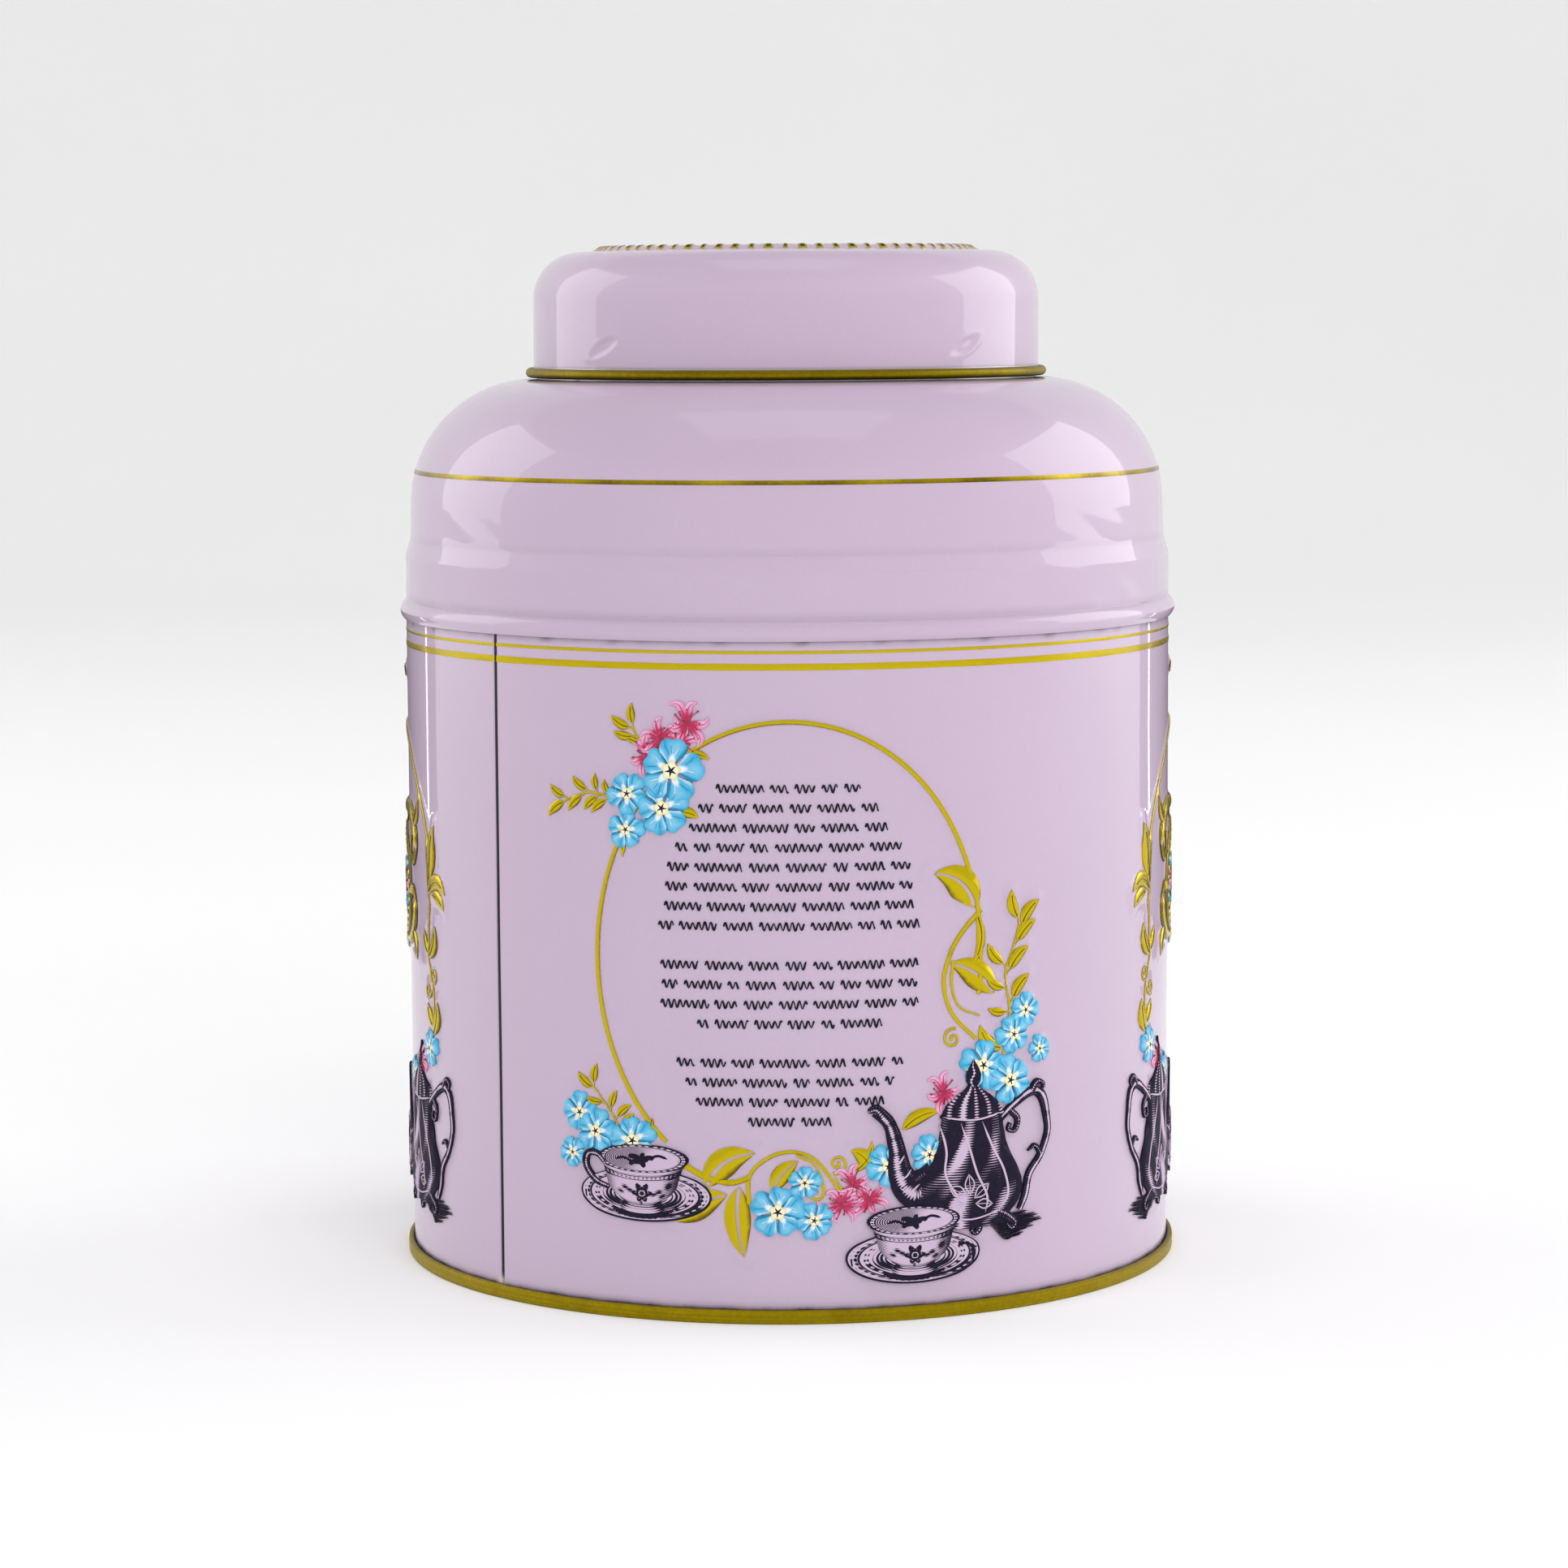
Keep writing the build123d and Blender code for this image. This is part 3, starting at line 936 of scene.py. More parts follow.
    def handle(self):
        """The pot's scrolled handle with its thumb rest."""
        self.tube([(4.6, 15.6), (7.2, 17.6), (10.6, 19.3), (12.7, 18.3), (13.6, 15.0), (13.7, 12.6),
                   (12.3, 9.4), (10.1, 6.7), (9.3, 3.6), (8.2, 1.4)],
                  [0.55, 0.6, 0.75, 0.8, 0.62, 0.55, 0.55, 0.6, 0.6, 0.45], 1.2)
        self.layer += 1
        self.tube([(10.6, 19.3), (11.7, 20.6), (12.9, 20.1), (12.6, 19.2)], [0.6, 0.5, 0.4, 0.15], rows=0.2)
        self.tube([(6.4, 16.9), (7.9, 15.4), (7.4, 13.7), (6.2, 13.9), (6.5, 14.9)],
                  [0.5, 0.5, 0.42, 0.35, 0.25], rows=0.2)
        self.tube([(12.4, 9.6), (11.2, 10.9), (9.9, 10.2)], [0.45, 0.35, 0.12], rows=0.2)
        self.layer -= 1

    def pot_lid(self):
        """The pot's domed lid with a bud for its knob."""
        heights = [16.6, 17.2, 18.4, 19.6, 20.6, 21.3]
        halves = [5.4, 5.1, 4.3, 2.9, 1.3, 0.7]
        flutes = lambda up, across: (-0.3 + 0.9 * hump((across * (2.4 - up) + 9.2) % 1.0, 0.4, 0.2)
                                     + 0.6 * hump(across, -0.4, 0.2))
        self.vessel(heights, [-h for h in halves], halves, flutes, 12, 22, 41)
        bud = [0.55, 1.15, 1.25, 0.85, 0.3, 0.02]
        bud_light = lambda up, across: -0.35 + 1.3 * hump(across + 0.25 * np.sin(9 * up), -0.2, 0.2)
        self.layer += 1
        self.vessel([21.0, 21.9, 22.8, 23.8, 24.7, 25.2], [-h for h in bud], bud, bud_light, 9, 22, 17, 0.2)
        for rim in (16.7, 17.4):
            self.engraved([(-5.1, rim), (0, rim - 0.75), (5.1, rim)], 0.26, pale=rim < 17)
        self.layer -= 1

    def pot_details(self):
        """Feet, a leaf spray chased on the belly and the bright edges of the flutes."""
        for side in (-1, 1):
            self.tube([(side * 4.2, 1.6), (side * 5.7, 0.9), (side * 7.3, -0.4), (side * 6.7, -1.2),
                       (side * 5.9, -0.5)], [0.7, 0.75, 0.6, 0.45, 0.2], rows=0.2)
        self.tube([(0.4, 0.6), (0.9, -0.6), (0.2, -1.3), (-0.5, -0.7)], [0.75, 0.6, 0.45, 0.2], rows=0.2)
        self.layer += 1
        for x, lean in ((-4.6, 1.9), (-1.3, 2.8), (2.3, 2.6)):
            self.engraved([(x - 0.9, 15.6), (x * 1.1 + lean * 0.25, 11.6), (x * 1.35 + lean * 0.8, 7.9),
                           (x * 1.1 + lean * 1.3, 4.2), (x * 0.7 + lean, 1.7)], 0.34, pale=True)
        for x, y, way, size in (
                (-1.2, 4.4, 150, 3.4), (-0.6, 4.6, 95, 3.2), (0.0, 4.0, 40, 3.3), (0.2, 3.2, -5, 3.0),
                (-1.6, 3.4, 195, 2.8)):
            root = np.array([x, y])
            rib = [root, root + compass(way, size * 0.5), root + compass(way, size)]
            for bulge in (-0.24, 0.24):
                edge = [rib[0], rib[1] + compass(way + 90, size * bulge), rib[2]]
                self.engraved(edge, 0.19, pale=True, step=0.25)
            self.engraved(rib, 0.1, pale=True)
        self.engraved([(-5.4, 2.0), (-0.5, 0.85), (5.2, 2.0)], 0.22, pale=True)
        self.layer -= 1

    def pot_shadow(self):
        """The hatched shadow on the table, to the pot's right."""
        for k in range(15):
            y = 0.9 - 0.27 * k
            start = 1.5 + 0.28 * k
            end = 12.6 - 0.55 * abs(k - 5) + 0.8 * math.sin(4.4 * k)
            self.engraved([(start, y), ((start + end) / 2, y - 0.08), (end, y + 0.1)], 0.2 - 0.006 * k)

    def cup(self, handle=True):
        """A footed teacup on its saucer. The middle of the rim is at 0, 0."""
        self.press([(-4, -5.4), (-2, -5.4), (0, -5.4), (2, -5.4), (4, -5.4)], 4.4, 0.8, 1.2)
        self.press([(-2.5, -3.4), (0, -3.6), (2.5, -3.4)], 4.2, 1.0, 1.2)
        saucer = (0.15, -5.4)
        ring = lambda out, spin: (1.12 - 1.5 * hump(out, 0.98, 0.016) - 1.1 * hump(out, 0.84, 0.025)
                                  - 0.9 * hump(out, 0.72, 0.03) * (np.sin(spin * 22) > 0)
                                  - 0.75 * hump(out, 0.9, 0.035) * (np.sin(spin * 34) > -0.2)
                                  - 0.8 * hump(out, 0.52, 0.1) - 0.5 * hump(spin, 5.6, 0.4)
                                  - 0.55 * hump(spin, 3.7, 0.35) * (out < 0.8))
        rays = lambda out, spin: out * 16
        self.disc("black_ink", (saucer[0], saucer[1] - 0.35), 10.5, -0.5, squash=0.36, rings=3, steps=60)
        self.layer += 1
        self.disc("black_ink", saucer, 10.6, ring, squash=0.37, hatch=rays, rings=40, steps=150, inner=0.3)
        self.layer += 1
        for k in range(9):
            y = -7.5 - 0.16 * k
            wide = 3.6 + 0.25 * k
            self.engraved([(-wide + 0.6, y + 0.25), (0, y), (wide + 0.6, y + 0.25)], 0.14)
        if handle:
            self.tube([(-6.0, -1.0), (-7.4, 0.3), (-9.1, 0.2), (-9.4, -1.7), (-7.8, -3.7), (-5.4, -4.6)],
                      [0.45, 0.5, 0.55, 0.5, 0.5, 0.4], bright=0.75)
        heights = [-7.3, -6.9, -6.3, -5.7, -4.9, -3.8, -2.5, -1.2, -0.2]
        halves = [3.6, 3.5, 2.9, 3.6, 4.8, 5.6, 5.9, 6.3, 7.05]
        self.layer += 1
        self.vessel(heights, [-h for h in halves], halves, self.cup_light, 26, 72, 121, 0.95)
        self.layer += 1
        self.cup_mouth()
        self.layer -= 4

    @staticmethod
    def cup_light(up, across):
        """Shading of the cup's side, with a rosette spray in front and a dashed band under the rim."""
        round_sides = -0.8 * hump(across, -1, 0.26) - 1.1 * hump(across, 1, 0.36)
        waist = -0.7 * hump(up, 0.16, 0.09)
        band = -0.9 * hump(up, 0.9, 0.02) - 0.8 * hump(up, 0.8, 0.018)
        dashes = -0.8 * hump(up, 0.85, 0.03) * (np.sin(across * 58) > 0.1)
        x, y = across * 6.2, (up - 0.5) * 7.2
        away = np.hypot(x, y)
        spin = np.arctan2(y, x)
        rose = -1.5 * smooth((1.65 * (1 + 0.2 * np.cos(6 * spin)) - away) / 0.3)
        heart = 1.3 * hump(away, 0.5, 0.14) + 0.9 * hump(away, 1.1, 0.12) * (np.sin(5 * spin) > 0)
        spray = 0
        for side, lean in ((-1, 0.35), (1, -0.2)):
            for k in range(3):
                lx = side * (2.1 + 0.85 * k)
                ly = lean + 0.5 * math.sin(2.2 * k)
                spray = spray - 1.4 * np.exp(-((x - lx) / 0.5) ** 2 - ((y - ly) / 0.34) ** 2)
        small = -1.0 * np.exp(-((x - 4.4) / 0.5) ** 2 - ((y - 0.9) / 0.5) ** 2)
        lower = -0.9 * np.exp(-((x + 0.2) / 0.35) ** 2 - ((y + 1.75) / 0.5) ** 2)
        return 1.12 + round_sides + waist + band + dashes + rose + heart + spray + small + lower

    def cup_mouth(self):
        """The cup's open mouth: a dashed inner band, a dark bowl and a painted spray inside."""
        inside = lambda out, spin: (1.16 - 1.2 * hump(out, 0.84, 0.03) - 2.2 * hump(out, 0.975, 0.026)
                                    - 1.3 * hump(out, 0.91, 0.04) * (np.sin(spin * 34) > 0)
                                    - 0.75 * (out < 0.8) * smooth(0.5 + 0.9 * np.cos(spin - 2.9)))
        self.disc("black_ink", (0, 0), 7.2, inside, squash=0.3, hatch=lambda out, spin: out * 20, rings=44,
                  steps=150)
        self.layer += 1
        for k in range(5):
            root = compass(30 + 60 * k, 0.35) * (1, 0.5)
            tip = compass(18 + 66 * k, 2.3) * (1, 0.5) + (-0.2, -0.2)
            self.engraved([root, (root + tip) / 2 + (0.1, 0.12), tip], 0.75)
        self.disc("black_ink", (-0.2, -0.2), 1.1, SOLID, 5, 0.2, squash=0.7, rings=3, steps=24)
        self.engraved([(1.2, 0.1), (2.6, 0.6), (4.1, 0.2)], 0.4)
        self.engraved([(-1.6, -0.4), (-3.0, 0.1), (-4.3, -0.2)], 0.4)
        self.layer -= 1

    # compositions

    def oval(self, start, end, wide=29.8, tall=35.5):
        """The panel's gold oval, drawn between two angles."""
        turn = np.radians(np.linspace(start, end, int(abs(end - start))))
        path = np.stack([wide * np.cos(turn), tall * np.sin(turn)], 1)
        width = sizes().oval_width / MM
        self.ribbon("gold_ink", path, width / 2, 0.56, 0.06, 0.34)
        self.press(path[::2], width / 2, 0.4, 0.7)

    def rules(self):
        """Three blocks of wavy rules, shorter towards the oval's ends. A block's last rule is cut short."""
        chance = np.random.default_rng(12)
        pitch, top, half_wide, half_tall, widest = 2.93, 25.6, 20.6, 30.5, 41.5
        line = 0
        for count, closing in ((8, 1.0), (4, 0.74), (4, 0.5)):
            for k in range(count):
                y = top - pitch * line
                share = closing if k == count - 1 else 1
                width = 2 * half_wide * math.sqrt(1 - (y / half_tall) ** 2) * share
                self.rule_line(y, min(width, widest) * chance.uniform(0.94, 1.0), chance)
                line += 1
            line += 1

    def rule_line(self, y, width, chance):
        """One line of short wavy rules with gaps between them."""
        wave, wave_half = 0.92, 0.56
        x, end = -width / 2, width / 2
        while x < end - 1.2:
            length = min(chance.uniform(1.6, 7.4), end - x)
            if end - x - length < 2.2:
                length = end - x
            s = np.linspace(0, 1, max(6, int(length / 0.085)))
            swell = wave_half + 0.08 * np.sin(s * length * 1.3 + x)
            path = np.stack([x + s * length, y + swell * np.sin(s * length * 2 * np.pi / wave)], 1)
            self.ribbon("black_ink", path, lambda q: 0.115 + 0.04 * np.sin(q * length * 5.1), SOLID, lanes=3)
            x += length + chance.uniform(0.9, 1.15)


def top_left_cluster(d):
    """The bouquet at the oval's upper left: leafy sprigs, pink stars and four blue flowers."""
    d.sprig([(-21.3, 31.7), (-22.6, 32.8), (-23.6, 34.6)],
            [(0.95, 92, 1.0), (0.85, 150, 1.12), (0.55, 168, 1.05), (0.2, 160, 0.75)], 3.1)
    d.sprig([(-26.6, 23.6), (-29.0, 24.3), (-31.4, 24.4), (-35.0, 23.2)],
            [(0.98, 148, 1.0), (0.98, 218, 1.2), (0.6, 224, 1.1), (0.28, 222, 1.0), (0.5, 142, 1.0),
             (0.36, 96, 0.8), (0.1, 108, 0.75), (0.1, 218, 1.05)], 3.1)
    d.leaf((-15.2, 30.6), (-11.6, 29.9), 1.3)
    d.leaf((-16.2, 22.0), (-13.4, 21.2), 1.6)
    d.leaf((-27.0, 20.6), (-25.4, 15.0), 1.4)
    d.layer += 2
    d.stars((-21.4, 30.4, 3.0, 20), (-16.0, 32.2, 2.9, 70), (-19.0, 33.0, 3.4, 45), (-14.9, 35.2, 3.5, 10))
    d.blossoms((-24.7, 19.2, 2.9, 12), (-24.4, 24.6, 3.2, 50), (-18.9, 22.6, 4.0, 30), (-17.4, 28.2, 4.7, 8))
    d.layer = 1


def right_branch(d):
    """The leafy branch on the oval's right, with its curls and the tall sprig outside it."""
    d.stem([(29.7, 6.6), (25.6, 2.0), (23.6, -3.2), (24.8, -8.6), (28.9, -12.9)], 0.75, 0.7)
    d.stem([(25.0, -0.8), (24.9, -4.6), (26.2, -7.9), (29.6, -9.4)], 0.5, 0.5)
    d.leaf((28.7, 6.9), (22.0, 12.4), 5.0, -0.18, split=0.16)
    d.leaf((28.9, 6.0), (28.2, -1.6), 1.5, 0.16)
    d.leaf((32.0, -6.2), (24.6, -1.2), 4.4, -0.1, split=0.18)
    d.leaf((33.4, -14.6), (29.6, -10.8), 2.2, 0.2)
    d.tendril((25.0, -12.6), 1.6, 1.35, 70)
    d.sprig([(33.4, -16.6), (34.8, -9.6), (34.1, -3.2), (35.2, -0.4), (36.6, 3.9)],
            [(1.0, 104, 1.25), (0.96, 46, 1.35), (0.84, 42, 1.3), (0.6, 44, 1.35), (0.66, 130, 1.15),
             (0.5, 152, 0.95), (0.4, 48, 1.3), (0.34, 168, 0.9)], 3.6)
    d.leaf((16.9, -25.9), (22.9, -23.4), 2.2, 0.12)
    d.layer += 2
    d.stars((23.4, -20.6, 3.0, 15))
    d.blossoms((40.4, -15.4, 2.1, 30), (37.6, -9.2, 2.7, 5), (35.4, -12.7, 3.0, 40), (21.0, -29.8, 2.9, 20),
               (14.6, -31.2, 3.3, 55), (29.9, -16.9, 3.7, 10), (34.7, -19.6, 3.8, 33), rise=2)
    d.layer = 1


def left_cup_corner(d):
    """Flowers and a small sprig behind the left cup, then the cup itself."""
    d.sprig([(-25.6, -28.4), (-27.2, -24.4), (-30.6, -20.0)],
            [(1.0, 80, 1.0), (0.95, 140, 1.1), (0.72, 166, 0.9), (0.55, 70, 0.95), (0.42, 40, 1.0),
             (0.2, 50, 1.05)], 3.0)
    d.leaf((-21.0, -24.0), (-22.6, -27.6), 1.0)
    d.layer += 2
    d.blossoms(
        (-33.0, -24.0, 3.1, 20), (-34.3, -30.2, 2.4, 48), (-30.2, -26.6, 3.3, 5), (-24.0, -27.6, 3.7, 28))
    d.layer += 1
    d.at(-22.5, -30.3)
    d.cup()
    d.at()
    d.layer = 1


def bottom_spray(d):
    """The leaves, curls and flowers along the oval's foot."""
    d.stem([(-16.6, -30.6), (-12.8, -32.6), (-9.0, -33.4), (-6.2, -32.6)], 0.9, 0.9)
    d.leaf((-12.6, -34.2), (-5.2, -28.9), 4.4, 0.16, split=0.18)
    d.leaf((-17.6, -39.4), (-9.4, -35.2), 4.6, 0.06, split=0.18)
    d.leaf((-7.6, -34.0), (-6.9, -44.6), 4.0, -0.06, split=0.18)
    d.leaf((-2.6, -34.6), (1.2, -30.0), 2.8, 0.1, split=0.18)
    d.stem([(-6.2, -36.6), (-6.0, -32.2), (-2.9, -29.4), (0.7, -28.7), (4.0, -30.2), (7.4, -34.8)], 0.62, 0.7)
    d.tendril((3.7, -34.9), 1.6, 1.3, 100, -1)
    d.stem([(0.9, -29.2), (3.3, -30.4), (4.8, -32.8), (4.9, -34.8)], 0.4)
    d.tendril((7.0, -30.6), 1.5, 1.4, 250, 1)
    d.stem([(9.0, -36.4), (7.4, -34.0), (6.4, -31.8)], 0.4)
    d.leaf((11.9, -31.6), (9.0, -28.6), 2.4, -0.15)
    d.leaf((9.4, -31.8), (12.2, -27.2), 1.4, -0.15)
    d.layer += 2
    d.stars((9.4, -33.7, 3.0, 25), (11.6, -36.0, 3.1, 50), (7.6, -36.7, 3.2, 5))
    d.blossoms((2.1, -33.3, 2.5, 15), (3.5, -39.0, 2.9, 40), (-1.9, -37.7, 4.0, 12))
    d.layer = 1


def pot_and_cup(d, x=28.2, y=-41.0):
    """The large teapot with its shadow, and the cup in front of it."""
    d.layer = 21
    d.at(x, y)
    d.pot_shadow()
    d.teapot()
    d.layer = 27
    d.at(x - 9.6, y + 1.4)
    d.cup(handle=False)
    d.at()
    d.layer = 1


def wreath(d):
    """The oval and everything that grows round it."""
    d.oval(-10, 231)
    top_left_cluster(d)
    right_branch(d)
    bottom_spray(d)
    left_cup_corner(d)
    pot_and_cup(d)


def front_panel():
    d = Drawing(0.0)
    wreath(d)
    d.rules()
    return d


def back_panel():
    """A guess at the unseen back: the same wreath about a bouquet."""
    d = Drawing(180.0)
    wreath(d)
    d.at(-1.0, 2.0)
    d.sprig([(0, -14), (-1.5, -4), (0.5, 8), (0, 14)],
            [(1.0, 95, 1.3), (0.92, 40, 1.4), (0.85, 140, 1.4), (0.72, 35, 1.5), (0.66, 148, 1.5),
             (0.5, 30, 1.3)], 4.2)
    d.sprig([(0, -8), (-6, -2), (-11, 5)],
            [(1.0, 120, 1.2), (0.8, 170, 1.3), (0.7, 80, 1.2), (0.4, 175, 1.2)], 4.0)
    d.sprig([(0, -8), (6, -3), (11, 3)], [(1.0, 50, 1.2), (0.8, 5, 1.3), (0.7, 100, 1.2), (0.4, 0, 1.2)], 4.0)
    d.layer += 2
    d.stars((-6, 5.5, 4.2, 10), (7, 6, 4.2, 40), (0.5, 11, 4.0, 20))
    d.blossoms((-6.5, -1.5, 4.8, 15), (6.5, -1.0, 4.8, 50), (0, 4.2, 5.6, 5), (0, -5.6, 5.2, 30))
    d.at()
    return d


def side_panel(angle):
    """A mirrored design: scrolls, flowers and a pot on each side of a plain gold cartouche."""
    d = Drawing(angle)
    d.oval(24, 156, 27.0, 30.8)
    for way in (-1, 1):
        d.at(0, 0, flip=way)
        d.stem([(24.4, 12.6), (24.9, 6.0), (24.2, -1.0), (24.6, -6.0), (26.2, -10.5), (26.2, -16.0)],
               0.62, 0.7)
        for root, tip, width, bend in (
                ((25.6, 7.2), (27.4, 16.4), 3.6, 0.08), ((24.8, 6.4), (23.8, 12.8), 2.2, -0.1),
                ((24.9, 5.4), (31.6, 5.8), 2.6, 0.3), ((26.6, 5.4), (31.0, 3.4), 2.2, 0.14),
                ((24.5, -4.6), (27.4, 0.6), 2.6, -0.14), ((24.4, -4.0), (22.4, -0.4), 1.7, 0.1),
                ((26.1, -15.2), (23.9, -11.8), 2.1, 0.1), ((26.4, -16.6), (28.0, -11.2), 2.5, -0.1)):
            d.leaf(root, tip, width, bend)
        d.tendril((26.3, -7.3), 1.5, 1.4, 180)
        d.tendril((23.8, -9.8), 1.4, 1.3, 0, -1)
        d.leaf((0.6, 37.6), (3.6, 39.6), 1.6)
        d.at(0, 3.6, flip=way, scale=0.82)
        scroll_work(d)
        d.at(0, 0, flip=way)
        d.layer += 2
        d.star(20.4, -21.2, 2.6, 20)
        d.layer += 3
        d.blossom(25.0, -18.9, 3.0, 10)
        d.blossom(15.4, -24.2, 2.7, 40)
        d.layer = 1
    d.at()
    cartouche(d)
    for way in (-1, 1):
        d.layer = 8
        d.at(19.5 * way, -43.6, flip=way)
        d.pot_shadow()
        d.teapot()
    d.at(0, -33.8)
    d.layer = 16
    d.cup(handle=False)
    d.at()
    return d


def scroll_work(d):
    """One side of the gold scrolls round a side panel's cartouche: a dark edge, then the gold on it."""
    upper = [(3.0, 12.5), (9.0, 17.2), (16.0, 16.8), (20.5, 12.0), (18.0, 7.4), (14.2, 8.6), (15.0, 11.6)]
    lower = [(3.0, -3.5), (9.5, -8.2), (16.0, -7.0), (19.5, -2.4), (16.6, 1.4), (13.4, -0.4), (14.6, -2.8)]
    for width, tint, lift in ((2.3, 0.12, 0.0), (1.5, 0.62, 0.05)):
        for points in (upper, lower):
            d.ribbon("gold_ink", curve(points, 0.5), lambda s, w=width: w / 2 * (0.45 + np.sin(np.pi * s)),
                     tint, 0.08, 0.2, lift=lift)
        d.layer += 1
    d.layer -= 2
    d.leaf((18.6, 14.6), (24.0, 19.6), 2.8, -0.12)
    d.leaf((17.6, -6.4), (21.8, -11.6), 2.6, 0.12)
    for points in ([(9.0, 17.0), (16.0, 16.6), (20.0, 12.0)], [(9.5, -8.0), (16.0, -6.8), (19.2, -2.4)]):
        d.press(curve(points, 1.0), 1.0, 0.9, 0.9)


def cartouche(d):
    """The beaded gold ring in the middle of a side panel, with a bouquet inside it."""
    centre, ring, squash = np.array([0, 4.4]), 12.0, (1, 0.78)
    turn = np.radians(np.linspace(0, 360, 145))
    around_ring = np.stack([np.cos(turn), np.sin(turn)], 1) * squash
    for radius, width, tint in ((ring, 2.7, 0.14), (ring, 2.1, 0.62), (9.9, 0.5, 0.3)):
        d.ribbon("gold_ink", around_ring * radius + centre, width / 2, tint, 0.1, 0.26, lanes=7)
        d.layer += 1
    d.press(around_ring[::3] * ring + centre, 1.0, 0.9, 0.9)
    for k in range(40):
        d.disc("gold_ink", compass(9 * k, ring) * squash + centre, 0.46, 0.9, dome=0.2, rings=4, steps=10)
    d.layer += 2
    for way in (62, 90, 118, -62, -118, 12, 168):
        d.sprig([centre, compass(way, 3.6) + centre, compass(way, 5.6) + centre],
                [(1.0, way, 1.0), (0.75, way + 48, 0.8), (0.75, way - 48, 0.8)], 2.2)
    d.layer += 2
    for x, y, r, way in ((-4.9, 4.9, 2.5, 15), (4.9, 4.9, 2.5, 50)):
        d.star(x, y, r, way)
    d.layer += 2
    d.blossoms((-2.6, 6.6, 2.7, 10), (2.6, 6.6, 2.7, 40), (0, 3.0, 3.5, 18))
    d.layer = 1


def lid_wreath():
    """The crown's ornament: a toothed gold edge, rings, a wreath of leaves and a large flower."""
    d = Drawing()
    teeth, sprays, middle_ring = 72, 24, 21.4
    turn = np.radians(np.linspace(0, 360, 181))
    for radius, width in ((28.0, 0.6), (26.9, 0.3), (15.2, 0.5)):
        ring = np.stack([radius * np.cos(turn), radius * np.sin(turn)], 1)
        d.ribbon("gold_ink", ring, width / 2, 0.6, 0.1, 0.3)
    for k in range(teeth):
        tooth = np.array([compass(360 / teeth * k, reach) for reach in (28.9, 29.5, 30.1, 30.6)])
        half = 0.56 + 0.2 * math.sin(3.7 * k)
        d.ribbon("gold_ink", tooth, half, 0.62, 0.04, lanes=5)
        d.ribbon("gold_ink", tooth[:-1], half * 0.5, 0.02, lanes=3, lift=0.07)
        d.press(tooth, half * 0.8, 0.9, 0.4)
    for k in range(sprays):
        angle = 360 / sprays * k
        way = 1 if k % 2 else -1
        root = compass(angle, middle_ring)
        d.leaf(root, compass(angle + 9, middle_ring + 4.6 * way), 2.5, 0.1 * way)
        bend, end = compass(angle + 8, middle_ring + 0.5 * way), compass(angle + 15.5, middle_ring)
        d.stem([root, bend, end], 0.5, 0.9)
    d.layer += 2
    for k in range(6):
        spot = compass(60 * k + 22, middle_ring)
        if k % 2:
            d.star(*spot, 3.4, 10 * k)
        else:
            d.blossom(*spot, 3.7, 12 * k)
    d.layer += 1
    for k in range(10):
        d.leaf(compass(36 * k, 4.5), compass(36 * k, 12.8), 3.2, 0.08)
    d.layer += 2
    d.blossom(0, 0, 7.6, 18)
    return d


PANELS = {
    "front": front_panel,
    "right": lambda: side_panel(90.0),
    "back": back_panel,
    "left": lambda: side_panel(-90.0),
}
PIECE_WORDS = {
    "gold_ink": "gold_sprays",
    "blue_ink": "blue_flowers",
    "pink_ink": "pink_stars",
    "cream_ink": "flower_eyes",
    "black_ink": "engraving",
}


def turn_between(angle, middle):
    """The turn from middle to angle, in radians, from -pi to pi."""
    return (angle - math.radians(middle) + np.pi) % (2 * np.pi) - np.pi


def wall_surface(drawings, angle, height):
    """The radius of the wall's outer face, with its pressings and waviness."""
    radius = wall_radius + waviness(angle, height, 0.7) * smooth((SHOULDER_FOOT - 2 - height) / 8)
    for drawing in drawings:
        x = turn_between(angle, drawing.angle) * wall_radius
        radius = radius + drawing.relief(x, height - PANEL_HEIGHT)
    return radius


def lay_on_wall(drawing, panel):
    """Makes one piece for each ink of a panel, laid on the wall."""
    for ink, print_run in drawing.inks.items():
        x, y, lift, tint, hatch = np.vstack(print_run.parts).T
        angle = math.radians(drawing.angle) + x / wall_radius
        height = y + PANEL_HEIGHT
        radius = wall_surface([drawing], angle, height) + lift
        points = np.stack([radius * np.sin(angle), -radius * np.cos(angle), height], 1)
        add_piece(
            f"{panel}_{PIECE_WORDS[ink]}", points, np.vstack(print_run.faces), [ink], "caddy",
            marks={"tint": tint, "hatch": hatch}, sharp=60)


# ---------------------------------------------------------------- the tin's pieces


def from_seam(angle):
    """Millimetres along the wall from its side seam, positive to the right."""
    return turn_between(angle, SEAM_ANGLE) * wall_radius


def seam_lap(gap):
    """How far the sheet that laps over the other stands out, at a distance from the seam."""
    return SEAM_LAP * smooth((LAP_REACH - gap) / LAP_FADE)


def outer_rows(section, count):
    """True for the points of a section that are on its outer face."""
    return np.arange(len(section))[:, None] < count


def patchy(angle, fine, coarse, start):
    """A share that comes and goes round the tin, from 0 to 1: it makes the darkening at the wall's foot and
    the painted shade under the bead uneven.
    """
    return 0.5 + 0.5 * np.sin(angle * fine) * np.sin(angle * coarse + start)


